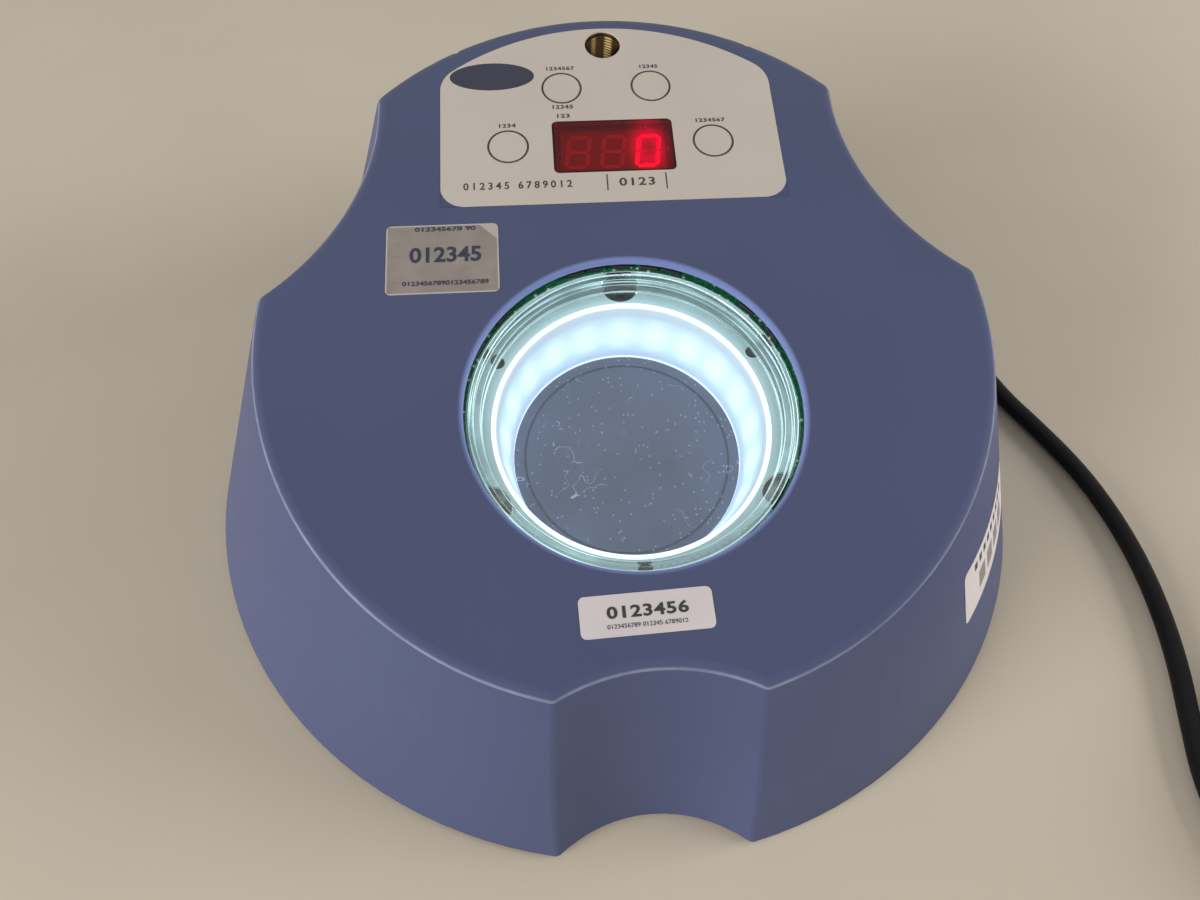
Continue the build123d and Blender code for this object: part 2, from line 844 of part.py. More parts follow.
with BuildPart() as buzzer:
    with BuildSketch(depth(control_underside)):
        with Locations(buzzer_place):
            Circle(buzzer_radius)
    extrude(amount=-buzzer_height)
    with BuildSketch(depth(control_underside + buzzer_height)):
        with Locations(buzzer_place):
            Circle(buzzer_hole_radius)
    extrude(amount=buzzer_height / 2, mode=Mode.SUBTRACT)
write(buzzer.part, "buzzer")

# ---------------------------------------------------------------- bush for the magnifier's arm
with BuildPart() as magnifier_bush:
    with BuildSketch(depth(bush_top + bush_flange_thickness)):
        with Locations((0, bush_y)):
            Circle(bush_flange_radius)
    extrude(amount=bush_flange_thickness)
    with BuildSketch(depth(bush_top + bush_length)):
        with Locations((0, bush_y)):
            Circle(bush_radius)
    extrude(amount=bush_length)
    with BuildSketch(depth(bush_top + bush_length)):
        with Locations((0, bush_y)):
            Circle(bush_bore)
    extrude(amount=bush_length, mode=Mode.SUBTRACT)
    mouth = magnifier_bush.edges().filter_by(GeomType.CIRCLE).group_by(deck_axis)[-1].sort_by(SortBy.RADIUS)[0]
    chamfer(mouth, bush_chamfer)
write(magnifier_bush.part, "magnifier_bush")

with BuildPart() as bush_nut:
    with BuildSketch(depth(wall + bush_nut_thickness)):
        with Locations((0, bush_y)):
            RegularPolygon(bush_nut_size / 2, 6, major_radius=False, rotation=30)
            Circle(bush_radius + bush_gap, mode=Mode.SUBTRACT)
    extrude(amount=bush_nut_thickness)
write(bush_nut.part, "bush_nut")

# ---------------------------------------------------------------- dish carrier
with BuildPart() as dish_carrier:
    with BuildSketch(deck_section):
        with BuildLine():
            Polyline(
                (0, -carrier_bottom),
                (carrier_radius, -carrier_bottom),
                (carrier_radius, -carrier_top),
                (carrier_rim_bore, -carrier_top),
                (carrier_rim_bore, -carrier_step),
                (dish_bore, -carrier_step),
                (dish_bore, -dish_floor),
                (0, -dish_floor),
                close=True,
            )
        make_face()
    revolve(axis=deck_axis)
    rims = dish_carrier.edges().filter_by(GeomType.CIRCLE).group_by(deck_axis)[-1]
    fillet(rims, carrier_rim_round)
write(dish_carrier.part, "dish_carrier")

with BuildPart() as stage_plungers:
    with BuildSketch(depth(plunger_tip)):
        with Locations(*ring_points(sensor_plunger_ring, sensor_angles)):
            Circle(plunger_radius)
    extrude(amount=plunger_tip - carrier_bottom)
write(stage_plungers.part, "stage_plungers")

with BuildPart() as touch_sensors:
    with BuildSketch(depth(sensor_bottom)):
        with Locations(*ring_points(sensor_ring_radius, sensor_angles)):
            Circle(sensor_radius)
    extrude(amount=sensor_bottom - sensor_top)
    with BuildSketch(depth(sensor_top)):
        with Locations(*ring_points(sensor_plunger_ring, sensor_angles)):
            Circle(plunger_radius + plunger_clearance)
    extrude(amount=sensor_top - plunger_tip - 2 * carrier_travel, mode=Mode.SUBTRACT)
write(touch_sensors.part, "touch_sensors")

# ---------------------------------------------------------------- support ring
with BuildPart() as support_ring:
    with BuildSketch(depth(support_top + support_thickness)):
        Circle(support_radius)
        Circle(diffuser_top_radius + diffuser_wall + diffuser_gap, mode=Mode.SUBTRACT)
        with Locations(*ring_points(sensor_ring_radius, sensor_angles)):
            Circle(sensor_hole_radius, mode=Mode.SUBTRACT)
        with Locations(*ring_points(support_screw_ring, support_screw_angles)):
            Circle(support_screw_radius + 2 * screw_clearance, mode=Mode.SUBTRACT)
    extrude(amount=support_thickness)
    with BuildSketch(depth(support_top)):
        with Locations(*ring_points(support_screw_ring, support_screw_angles)):
            Circle(support_screw_head + 2 * screw_clearance)
    extrude(amount=-support_screw_head_height, mode=Mode.SUBTRACT)
write(support_ring.part, "support_ring")

write(
    screws(
        depth(support_top + support_screw_head_height), ring_points(support_screw_ring, support_screw_angles),
        support_screw_radius, support_screw_head, support_screw_head_height, support_screw_length, away=-1,
    ),
    "support_screws",
)

# ---------------------------------------------------------------- lamp
with BuildPart() as diffuser:
    with BuildSketch(deck_section):
        with BuildLine():
            Polyline(
                (diffuser_top_radius, -diffuser_top),
                (diffuser_top_radius + diffuser_wall, -diffuser_top),
                (diffuser_bottom_radius + diffuser_wall, -diffuser_bottom),
                (diffuser_bottom_radius, -diffuser_bottom),
                close=True,
            )
        make_face()
    revolve(axis=deck_axis)
write(diffuser.part, "diffuser")

with BuildPart() as background_disc:
    with BuildSketch(depth(pot_floor_top)):
        Circle(disc_radius)
    extrude(amount=disc_thickness)
    with BuildSketch(depth(diffuser_bottom)):
        Circle(disc_groove_radius)
        Circle(disc_groove_radius - disc_groove_width, mode=Mode.SUBTRACT)
    extrude(amount=-disc_groove_depth, mode=Mode.SUBTRACT)
write(background_disc.part, "background_disc")

with BuildPart() as lamp_housing:
    with BuildSketch(depth(pot_bottom)):
        Circle(pot_radius)
    extrude(amount=pot_bottom - pot_top)
    with BuildSketch(depth(pot_top + pot_lug_thickness)):
        for angle in pot_lug_angles:
            with PolarLocations(0, 1, start_angle=angle):
                with Locations((pot_lug_ring / 2, 0)):
                    Rectangle(pot_lug_ring, 2 * pot_lug_radius)
        with Locations(*ring_points(pot_lug_ring, pot_lug_angles)):
            Circle(pot_lug_radius)
    extrude(amount=pot_lug_thickness)
    with BuildSketch(depth(pot_floor_top)):
        Circle(pot_bore)
    extrude(amount=pot_floor_top - pot_top, mode=Mode.SUBTRACT)
    with BuildSketch(depth(pot_floor_top)):
        with Locations(*ring_points(support_screw_ring, support_screw_angles)):
            Circle(support_post_radius)
    extrude(amount=pot_floor_top - pot_top)
    with BuildSketch(depth(pot_floor_top)):
        with Locations(*ring_points(sensor_ring_radius, sensor_angles)):
            Circle(sensor_post_radius)
    extrude(amount=pot_floor_top - sensor_bottom)
    with BuildSketch(depth(pot_top)):
        with Locations(*ring_points(support_screw_ring, support_screw_angles)):
            Circle(support_screw_radius + screw_clearance)
    extrude(amount=-support_screw_length, mode=Mode.SUBTRACT)
    with BuildSketch(depth(pot_top)):
        with Locations(*ring_points(pot_lug_ring, pot_lug_angles)):
            Circle(pot_screw_radius + 2 * screw_clearance)
    extrude(amount=-pot_lug_thickness, mode=Mode.SUBTRACT)
write(lamp_housing.part, "lamp_housing")

write(
    screws(
        depth(pot_top + pot_lug_thickness), ring_points(pot_lug_ring, pot_lug_angles),
        pot_screw_radius, pot_screw_head, pot_screw_head_height, pot_screw_length,
    ),
    "lamp_screws",
)

strip_radius = pot_bore - strip_gap
with BuildPart() as light_strip:
    with BuildSketch(depth(strip_top + strip_height)):
        Circle(strip_radius)
        Circle(strip_radius - strip_thickness, mode=Mode.SUBTRACT)
    extrude(amount=strip_height)
write(light_strip.part, "light_strip")

emitter_face = sqrt((strip_radius - strip_thickness) ** 2 - (emitter_length / 2) ** 2)
emitter_angles = [(index + 0.5) * 360 / emitter_count for index in range(emitter_count)]
with BuildPart() as light_emitters:
    with BuildSketch(depth(strip_top + (strip_height + emitter_height) / 2)):
        for angle in emitter_angles:
            with PolarLocations(0, 1, start_angle=angle):
                with Locations((emitter_face - emitter_thickness / 2, 0)):
                    Rectangle(emitter_thickness, emitter_length)
    extrude(amount=emitter_height)
write(light_emitters.part, "light_emitters")

# ---------------------------------------------------------------- ring board
with BuildPart() as ring_board:
    with BuildSketch(depth(ring_board_top + board_thickness)):
        Circle(ring_board_radius)
        Circle(ring_board_bore, mode=Mode.SUBTRACT)
        with Locations(*ring_points(ring_board_screw_ring, ring_board_screw_angles)):
            Circle(small_screw_radius + 2 * screw_clearance, mode=Mode.SUBTRACT)
    extrude(amount=board_thickness)
write(ring_board.part, "ring_board")

with BuildPart() as ring_board_parts:
    with BuildSketch(depth(ring_board_top)):
        for angle in ring_chip_angles:
            with PolarLocations(0, 1, start_angle=angle):
                with Locations((ring_board_bore + ring_chip_inset + ring_chip_width / 2, 0)):
                    Rectangle(ring_chip_width, ring_chip_length)
    extrude(amount=ring_chip_height)
write(ring_board_parts.part, "ring_board_parts")

write(
    screws(
        depth(ring_board_top + board_thickness), ring_points(ring_board_screw_ring, ring_board_screw_angles),
        small_screw_radius, small_screw_head, small_screw_head_height, board_thickness + ring_board_top - wall,
    ),
    "ring_board_screws",
)

with BuildPart() as ring_board_socket:
    x, y, width, length, height = ring_header
    with BuildSketch(depth(ring_board_top + board_thickness)):
        with Locations((x, y)):
            Rectangle(width, length)
    extrude(amount=-height)
write(ring_board_socket.part, "ring_board_socket")

# ribbon cable from the control board's socket to the ring board's, in one plane
board_socket = control_chip_sizes[-1]
ribbon_start = control_underside + board_socket[4]
ribbon_end = ring_board_top + board_thickness + ring_header[4]
ribbon_section = Plane(origin=deck_origin, x_dir=deck.y_dir, z_dir=(1, 0, 0))
with BuildPart() as ribbon_cable:
    with BuildLine(ribbon_section):
        ribbon_path = FilletPolyline(
            (board_socket[1], -ribbon_start),
            (board_socket[1], -ribbon_start - 2 * ribbon_bend),
            (board_socket[1] - ribbon_reach, -ribbon_start - ribbon_bend),
            (support_radius + 2 * ribbon_bend, -ribbon_end - ribbon_drop),
            (ring_header[1], -ribbon_end - ribbon_drop),
            (ring_header[1], -ribbon_end),
            radius=ribbon_bend,
        )
    with BuildSketch(Plane(origin=ribbon_path @ 0, x_dir=(1, 0, 0), z_dir=ribbon_path % 0)):
        Rectangle(ribbon_width, ribbon_thickness)
    sweep(path=ribbon_path)
write(ribbon_cable.part, "ribbon_cable")

# ---------------------------------------------------------------- rear panel and sockets
with BuildPart() as rear_panel:
    with BuildSketch(rear_plane(0, pocket_face_y)):
        with Locations((0, (panel_plate_foot + panel_plate_top) / 2 - rear_row_z)):
            Rectangle(2 * panel_plate_half_width, panel_plate_top - panel_plate_foot)
        with Locations(*[(x, z - rear_row_z) for x, z in panel_screw_places()]):
            Circle(small_screw_radius + 2 * screw_clearance, mode=Mode.SUBTRACT)
        with Locations((-inlet_x, 0)):
            Rectangle(inlet_width + cutout_gap, inlet_height + cutout_gap, mode=Mode.SUBTRACT)
        with Locations((-rocker_x, 0)):
            Rectangle(rocker_body_width + cutout_gap, rocker_body_height + cutout_gap, mode=Mode.SUBTRACT)
        with Locations((-serial_x, 0)):
            RectangleRounded(
                serial_width + cutout_gap, serial_height + cutout_gap, serial_corner, mode=Mode.SUBTRACT
            )
    extrude(amount=panel_plate_thickness)
write(rear_panel.part, "rear_panel")

write(
    screws(
        Plane(origin=(0, panel_plate_face, 0), x_dir=(1, 0, 0), z_dir=(0, -1, 0)), panel_screw_places(),
        small_screw_radius, small_screw_head, small_screw_head_height,
        panel_plate_thickness + pocket_back_wall,
    ),
    "rear_screws",
)

with BuildPart() as mains_inlet:
    with BuildSketch(rear_plane(inlet_x, panel_plate_face)):
        RectangleRounded(inlet_flange_width, inlet_flange_height, serial_corner)
    extrude(amount=inlet_flange_thickness)
    with BuildSketch(rear_plane(inlet_x, panel_plate_face)):
        inlet_body = Rectangle(inlet_width, inlet_height)
        chamfer(inlet_body.vertices().group_by(Axis.Y)[-1], inlet_corner)
    extrude(amount=-inlet_depth)
    with BuildSketch(rear_plane(inlet_x, panel_plate_face + inlet_flange_thickness)):
        nose = Rectangle(
            connector_width + 2 * connector_clearance, connector_height + 2 * connector_clearance
        )
        chamfer(nose.vertices().group_by(Axis.Y)[-1], inlet_corner)
    extrude(amount=-inlet_cavity_depth, mode=Mode.SUBTRACT)
    with BuildSketch(rear_plane(inlet_x, panel_plate_face)):
        with Locations(*blade_places):
            Rectangle(blade_width, blade_height)
    extrude(amount=-inlet_depth, mode=Mode.SUBTRACT)
write(mains_inlet.part, "mains_inlet")

blade_root = panel_plate_face - inlet_depth - blade_tab
cavity_floor = panel_plate_face + inlet_flange_thickness - inlet_cavity_depth
with BuildPart() as inlet_blades:
    with BuildSketch(rear_plane(inlet_x, blade_root)):
        with Locations(*blade_places):
            Rectangle(blade_width, blade_height)
    extrude(amount=cavity_floor + blade_reach - blade_root)
write(inlet_blades.part, "inlet_blades")

rocker_front = panel_plate_face + rocker_flange_thickness
rocker_pivot = (rocker_x, rocker_front - rocker_pivot_depth, rear_row_z)
with BuildPart() as switch_frame:
    with BuildSketch(rear_plane(rocker_x, panel_plate_face)):
        RectangleRounded(rocker_flange_width, rocker_flange_height, rocker_flange_thickness)
    extrude(amount=rocker_flange_thickness)
    with BuildSketch(rear_plane(rocker_x, panel_plate_face)):
        Rectangle(rocker_body_width, rocker_body_height)
    extrude(amount=-rocker_body_depth)
    with BuildSketch(rear_plane(rocker_x, rocker_front)):
        Rectangle(rocker_width + 2 * rocker_gap, 2 * (rocker_radius + rocker_gap))
    extrude(amount=-rocker_well_depth, mode=Mode.SUBTRACT)
    with BuildSketch(Plane(origin=rocker_pivot, x_dir=(0, 1, 0), z_dir=(1, 0, 0))):
        Circle(rocker_pin_radius + rocker_pin_clearance)
    extrude(amount=rocker_pin_half_length + rocker_gap, both=True, mode=Mode.SUBTRACT)
write(switch_frame.part, "switch_frame")

rocker_section = Plane(
    origin=rocker_pivot,
    x_dir=(0, cos(radians(rocker_throw)), sin(radians(rocker_throw))),
    z_dir=(1, 0, 0),
)
with BuildPart() as power_rocker:
    with BuildSketch(rocker_section):
        Circle(rocker_radius)
        with BuildLine():
            Polyline(
                (-rocker_back, -rocker_radius),
                (rocker_face_end, -rocker_radius),
                (rocker_face_middle, 0),
                (rocker_face_end, rocker_radius),
                (-rocker_back, rocker_radius),
                close=True,
            )
        make_face(mode=Mode.INTERSECT)
    extrude(amount=rocker_width / 2, both=True)
    with BuildSketch(rocker_section):
        Circle(rocker_pin_radius)
    extrude(amount=rocker_pin_half_length, both=True)
write(power_rocker.part, "power_rocker")

with BuildPart() as serial_socket:
    with BuildSketch(rear_plane(serial_x, panel_plate_face)):
        Rectangle(serial_flange_width, serial_flange_height)
        with Locations((-serial_post_spacing / 2, 0), (serial_post_spacing / 2, 0)):
            Circle(serial_post_bore, mode=Mode.SUBTRACT)
    extrude(amount=serial_flange_thickness)
    with BuildSketch(rear_plane(serial_x, panel_plate_face)):
        RectangleRounded(serial_width, serial_height, serial_corner)
    extrude(amount=-serial_depth)
    with BuildSketch(rear_plane(serial_x, panel_plate_face)):
        with BuildLine():
            half = serial_face_width / 2
            low = half - serial_corner
            Polyline(
                (-half, serial_face_height / 2), (half, serial_face_height / 2),
                (low, -serial_face_height / 2), (-low, -serial_face_height / 2), close=True,
            )
        make_face()
    extrude(amount=serial_face_reach)
    with BuildSketch(rear_plane(serial_x, panel_plate_face + serial_face_reach)):
        for row, count in ((0.5, 5), (-0.5, 4)):
            for index in range(count):
                with Locations(((index - (count - 1) / 2) * serial_hole_pitch, row * serial_row_pitch)):
                    Circle(serial_hole_radius)
    extrude(amount=-serial_face_reach, mode=Mode.SUBTRACT)
write(serial_socket.part, "serial_socket")

with BuildPart() as serial_posts:
    with BuildSketch(rear_plane(serial_x, panel_plate_face + serial_flange_thickness)):
        with Locations((-serial_post_spacing / 2, 0), (serial_post_spacing / 2, 0)):
            RegularPolygon(serial_post_size / 2, 6, major_radius=False)
            Circle(serial_post_bore, mode=Mode.SUBTRACT)
    extrude(amount=serial_post_length)
write(serial_posts.part, "serial_posts")

# ---------------------------------------------------------------- power supply
supply_top = plate_top + supply_lift + board_thickness
with BuildPart() as supply_board:
    with BuildSketch(Plane.XY.offset(plate_top + supply_lift)):
        with Locations((supply_x, supply_y)):
            Rectangle(supply_width, supply_length)
        with Locations(*supply_boss_places()):
            Circle(small_screw_radius + 2 * screw_clearance, mode=Mode.SUBTRACT)
    extrude(amount=board_thickness)
write(supply_board.part, "supply_board")

write(
    screws(
        Plane.XY.offset(supply_top), supply_boss_places(), small_screw_radius, small_screw_head,
        small_screw_head_height, small_screw_length, away=-1,
    ),
    "supply_screws",
)

with BuildPart() as transformer_winding:
    with BuildSketch(Plane.XY.offset(supply_top)):
        with Locations(core_place):
            RectangleRounded(winding_width, winding_length, winding_corner)
    extrude(amount=winding_height)
write(transformer_winding.part, "transformer_winding")

with BuildPart() as transformer_core:
    with BuildSketch(Plane.XY.offset(supply_top + (winding_height - core_height) / 2)):
        with Locations(core_place):
            Rectangle(core_width, core_length)
            RectangleRounded(
                winding_width + 2 * winding_gap, winding_length + 2 * winding_gap, winding_corner,
                mode=Mode.SUBTRACT,
            )
    extrude(amount=core_height)
write(transformer_core.part, "transformer_core")

with BuildPart() as capacitors:
    with BuildSketch(Plane.XY.offset(supply_top)):
        with Locations(*capacitor_places):
            Circle(capacitor_radius)
    extrude(amount=capacitor_height)
    fillet(capacitors.edges().group_by(Axis.Z)[-1], capacitor_round)
write(capacitors.part, "capacitors")

with BuildPart() as heat_sink:
    with BuildSketch(Plane.XY.offset(supply_top)):
        with Locations((sink_place[0] - (sink_width - sink_base) / 2, sink_place[1])):
            Rectangle(sink_base, sink_length)
        with Locations(sink_place):
            fin_pitch = (sink_length - sink_fin_thickness) / (sink_fin_count - 1)
            with GridLocations(0, fin_pitch, 1, sink_fin_count):
                Rectangle(sink_width, sink_fin_thickness)
    extrude(amount=sink_height)
write(heat_sink.part, "heat_sink")

with BuildPart() as supply_terminals:
    for x, y, width, length, height in terminal_places:
        with BuildSketch(Plane.XY.offset(supply_top)):
            with Locations((x, y)):
                Rectangle(width, length)
        extrude(amount=height)
write(supply_terminals.part, "supply_terminals")

# ---------------------------------------------------------------- leads and the mains cord
def bend_radii(points):
    """For each corner, the largest arc that its two runs hold."""
    corners = [Vector(*point) for point in points]
    radii = []
    for before, here, after in zip(corners, corners[1:], corners[2:]):
        shorter = min((here - before).length, (after - here).length)
        turn = (here - before).get_angle(after - here)
        radii.append(bend_share * shorter / tan(radians(turn / 2)))
    return radii


def cable(points, radius):
    """Round cable along straight runs joined by tangent arcs."""
    radii = bend_radii(points)
    with BuildPart() as tube:
        with BuildLine():
            path = FilletPolyline(*points, radius=radii)
        with BuildSketch(Plane(origin=path @ 0, z_dir=path % 0)):
            Circle(radius)
        sweep(path=path)
    return tube.part, path.length, radii


mains_terminal, control_header = terminal_places
mains_terminal_top = supply_top + mains_terminal[4]
blade_z = rear_row_z + blade_places[0][1]
lead_starts = [(inlet_x - blade_places[1][0], blade_root, blade_z), (inlet_x - blade_places[0][0], blade_root, blade_z)]
lead_ends = [(mains_terminal[0] + offset, mains_terminal[1]) for offset in lead_offsets]
with BuildPart() as mains_leads:
    for (x, y, z), (end_x, end_y), crest in zip(lead_starts, lead_ends, lead_crests):
        lead_route = [
            (x, y, z),
            (x, y - lead_straight, z),
            (x - lead_swing, end_y + lead_swing / 4, crest),
            (end_x, end_y, crest),
            (end_x, end_y, mains_terminal_top),
        ]
        add(cable(lead_route, lead_radius)[0])
write(mains_leads.part, "mains_leads")

chip_x, chip_y, _, _, chip_height = control_chip_sizes[2]
header_face = depth(control_underside + chip_height).from_local_coords((chip_x, chip_y, 0))
header_run = depth(control_underside + chip_height + supply_lead_run).from_local_coords((chip_x, chip_y, 0))
header_top = supply_top + control_header[4]
with BuildPart() as supply_lead:
    add(
        cable(
            [
                (control_header[0], control_header[1], header_top),
                (control_header[0], control_header[1], header_top + supply_lead_rise),
                tuple(header_run),
                tuple(header_face),
            ],
            lead_radius,
        )[0]
    )
write(supply_lead.part, "supply_lead")

inlet_face = panel_plate_face + inlet_flange_thickness
connector_face = inlet_face + connector_stand_off
relief_root = connector_face + connector_length
relief_tip = relief_root + relief_length
with BuildPart() as mains_connector:
    with BuildSketch(rear_plane(inlet_x, inlet_face - connector_nose)):
        nose = Rectangle(connector_width, connector_height)
        chamfer(nose.vertices().group_by(Axis.Y)[-1], inlet_corner)
    extrude(amount=connector_nose + connector_stand_off)
    with BuildSketch(rear_plane(inlet_x, connector_face)):
        body = Rectangle(connector_width + 2 * connector_skin, connector_height + 2 * connector_skin)
        chamfer(body.vertices().group_by(Axis.Y)[-1], inlet_corner)
        fillet(body.vertices().group_by(Axis.Y)[0], connector_round)
    extrude(amount=connector_length)
    fillet(mains_connector.faces().sort_by(Axis.Y)[-1].edges(), connector_round)
    with BuildSketch(Plane(origin=(inlet_x, relief_root, rear_row_z), x_dir=(0, 1, 0), z_dir=(1, 0, 0))):
        Polygon(
            (-connector_round, 0), (-connector_round, relief_root_radius), (0, relief_root_radius),
            (relief_length, relief_tip_radius), (relief_length, 0), align=None,
        )
    revolve(axis=Axis((inlet_x, relief_root, rear_row_z), (0, 1, 0)))
    with BuildSketch(rear_plane(inlet_x, inlet_face - connector_nose)):
        with Locations(*blade_places):
            Rectangle(blade_width + 2 * slot_clearance, blade_height + 2 * slot_clearance)
    extrude(amount=connector_nose - inlet_cavity_depth + blade_reach + slot_clearance, mode=Mode.SUBTRACT)
write(mains_connector.part, "mains_connector")

cord_points = [(inlet_x, relief_tip, rear_row_z), *cord_route, coil_entry]
tube, tube_length, tube_radii = cable(cord_points, cord_radius)
with BuildPart() as cord_tube:
    add(tube)
write(cord_tube.part, "cord_tube")

cord_diameter = 2 * cord_radius
coil_inside = coil_turn_radius - cord_diameter
coil_outside = coil_turn_radius + cord_diameter
coil_shelf = coil_lift + coil_full_layers * cord_diameter
with BuildPart() as cord_coil:
    with BuildSketch(Plane.XZ.offset(-coil_y)) as coil_section:
        with Locations((coil_x, 0)):
            Polygon(
                (coil_inside, coil_lift), (coil_outside, coil_lift),
                (coil_outside, coil_shelf + cord_diameter), (coil_turn_radius, coil_shelf + cord_diameter),
                (coil_turn_radius, coil_shelf), (coil_inside, coil_shelf), align=None,
            )
        fillet(coil_section.vertices(), coil_corner)
    revolve(axis=Axis((coil_x, coil_y, 0), (0, 0, 1)))
write(cord_coil.part, "cord_coil")

tail, tail_length, tail_radii = cable(tail_route, cord_radius)
with BuildPart() as cord_tail:
    add(tail)
write(cord_tail.part, "cord_tail")

plug_frame = Plane(
    origin=tail_route[-1],
    x_dir=(tail_route[-1][0] - tail_route[-2][0], tail_route[-1][1] - tail_route[-2][1], 0),
    z_dir=(0, 0, 1),
)
plug_face = plug_grip_length + plug_neck + plug_length
with BuildPart() as mains_plug:
    with BuildSketch(plug_frame):
        Polygon(
            (0, 0), (0, plug_grip_radius - plug_round), (plug_round, plug_grip_radius),
            (plug_grip_length, plug_grip_radius), (plug_grip_length + plug_neck, plug_radius),
            (plug_face, plug_radius), (plug_face, 0), align=None,
        )
    revolve(axis=Axis(plug_frame.origin, plug_frame.x_dir))
write(mains_plug.part, "mains_plug")

with BuildPart() as plug_pins:
    with BuildSketch(Plane(origin=plug_frame.from_local_coords((plug_face, 0, 0)), x_dir=plug_frame.y_dir, z_dir=plug_frame.x_dir)):
        with Locations((-plug_pin_spacing / 2, 0), (plug_pin_spacing / 2, 0)):
            Circle(plug_pin_radius)
    extrude(amount=plug_pin_length)
    fillet(plug_pins.faces().sort_by(Axis(plug_frame.origin, plug_frame.x_dir))[-2:].edges(), plug_pin_radius / 2)
write(plug_pins.part, "plug_pins")

coil_cord_length = coil_turns * 2 * pi * coil_mean_radius
for name, body, length, radii in (
    ("cord_tube", cord_tube, tube_length, tube_radii), ("cord_tail", cord_tail, tail_length, tail_radii)
):
    print(name, "length", round(length, 1), "radii", [round(radius) for radius in radii])
    print(name, "volume over section x length", round(body.part.volume / (pi * cord_radius**2 * length), 5))
print("cord length in all", round(tube_length + coil_cord_length + tail_length))
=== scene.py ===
"""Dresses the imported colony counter: finishes, printed panel, labels, lit well and mains cord."""

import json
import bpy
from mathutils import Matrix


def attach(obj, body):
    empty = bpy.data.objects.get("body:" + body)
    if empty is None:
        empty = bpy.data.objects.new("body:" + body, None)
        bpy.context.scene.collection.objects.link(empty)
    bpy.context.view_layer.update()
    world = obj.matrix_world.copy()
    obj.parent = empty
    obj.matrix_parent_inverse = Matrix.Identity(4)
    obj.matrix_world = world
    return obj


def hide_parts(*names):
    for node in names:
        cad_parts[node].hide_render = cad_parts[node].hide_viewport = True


bl_info = {
    "name": "Colony counter",
    "version": (1, 0, 0),
    "blender": (4, 5, 0),
    "location": "View3D > Sidebar > Counter",
    "description": "Dresses the frame of a colony counter with finishes, labels and its mains cord",
    "category": "Object",
}

from math import cos, pi, radians, sin

import bmesh
import bpy
from mathutils import Matrix, Vector

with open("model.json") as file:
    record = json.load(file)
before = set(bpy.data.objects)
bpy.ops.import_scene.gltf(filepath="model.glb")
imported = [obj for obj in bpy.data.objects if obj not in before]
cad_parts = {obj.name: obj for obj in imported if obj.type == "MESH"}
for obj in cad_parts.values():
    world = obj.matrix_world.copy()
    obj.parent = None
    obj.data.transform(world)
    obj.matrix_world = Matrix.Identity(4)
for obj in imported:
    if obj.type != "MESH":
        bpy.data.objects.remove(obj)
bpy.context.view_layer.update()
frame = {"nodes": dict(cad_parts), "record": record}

# ---- frames and sizes, metres
MM = 0.001
DECK_TILT = radians(12.3)
DECK_ORIGIN = Vector((0.0, -47.1, 89.2)) * MM
DECK = Matrix.Translation(DECK_ORIGIN) @ Matrix.Rotation(DECK_TILT, 4, "X")
OVERLAY_TOP = 0.1 * MM
PRINT_LIFT = 0.06 * MM
PRINT_LEVEL = OVERLAY_TOP - PRINT_LIFT / 2
BEAD_COUNT = 21
PANEL_BACK = 159.2
BACK_KEYS = PANEL_BACK - 29.0
FRONT_KEYS = PANEL_BACK - 55.4
KEY_PLACES = [(-16.5, BACK_KEYS), (16.5, BACK_KEYS), (-36.9, FRONT_KEYS), (36.9, FRONT_KEYS)]
WINDOW_CENTRE = (0.8, PANEL_BACK - 56.2)
WINDOW_SIZE = (43.4, 23.0)
WINDOW_BORDER = 0.8
LIT_DIGIT = (WINDOW_CENTRE[0] + 12.7, WINDOW_CENTRE[1])
BUSH_Y = PANEL_BACK - 8.3
FILM_FRONT = 78.2
FILM_HALF_WIDTH = 61.0
FILM_CORNER = 8.5
FOIL_CENTRE = (-60.3, 57.3)
FOIL_SIZE = (37.8, 27.4)
LOBE_AXIS_Y = -7.1
LOBE_RADIUS = 157.0
LOBE_TAPER = 0.38
BASE_EDGE = 2.0

# places on the well's parts, in millimetres from its axis and from the deck
DIFFUSER_RADII = (45.0, 40.2)
DIFFUSER_LEVELS = (-16.0, -43.4)
DISC_GROOVE = (35.8, 36.6)

# print on the panel, in millimetres
KEY_RING_RADIUS = 7.3
OVAL_PLACE = (-41.9, 136.5)
OVAL_RADII = (15.5, 6.5)
TITLE_ROW = 86.7

# the room: light that it gives, what is seen of it, and lamps with place, width and power
ROOM_LIGHT = (1.0, 0.98, 0.95, 1)
ROOM_LEVEL = 0.29
ROOM_WALLS = (0.80, 0.77, 0.72, 1)
LAMPS = (
    ("ceiling", (-0.4, 0.3, 1.7), 1.8, 1.6), ("left", (-1.65, -1.05, 0.50), 1.2, 76.0),
    ("right", (1.75, -0.12, 0.50), 1.2, 50.0),
)

# route of the cord on the table, from the connector's relief to the coil
CORD_START = (26.0, 200.3, 27.5)
CORD_LEVEL = 3.6
CORD_FLAT = [
    (54.0, 260.0), (82.0, 256.0), (107.0, 238.0), (124.0, 210.0), (134.0, 177.0), (142.0, 144.0),
    (150.0, 112.0), (157.0, 80.0), (162.0, 48.0), (170.0, 17.0), (181.0, -4.0), (190.0, -24.0),
    (195.5, -44.0), (198.5, -66.0), (198.5, -88.0), (196.0, -110.0), (191.0, -132.0), (186.5, -153.0),
    (187.0, -175.0), (198.0, -195.0), (219.0, -208.5),
]
CORD_ROUTE = [(26.0, 226.0, 27.0), (33.0, 248.0, 12.0)]
CORD_ROUTE += [(across, along, CORD_LEVEL) for across, along in CORD_FLAT]
COIL_CENTRE = (253.0, -168.0)
COIL_RADII = (45.0, 38.0)
COIL_LEVELS = (CORD_LEVEL, 10.6, 17.6)
COIL_START = -90.0
COIL_END = 4 * 360.0
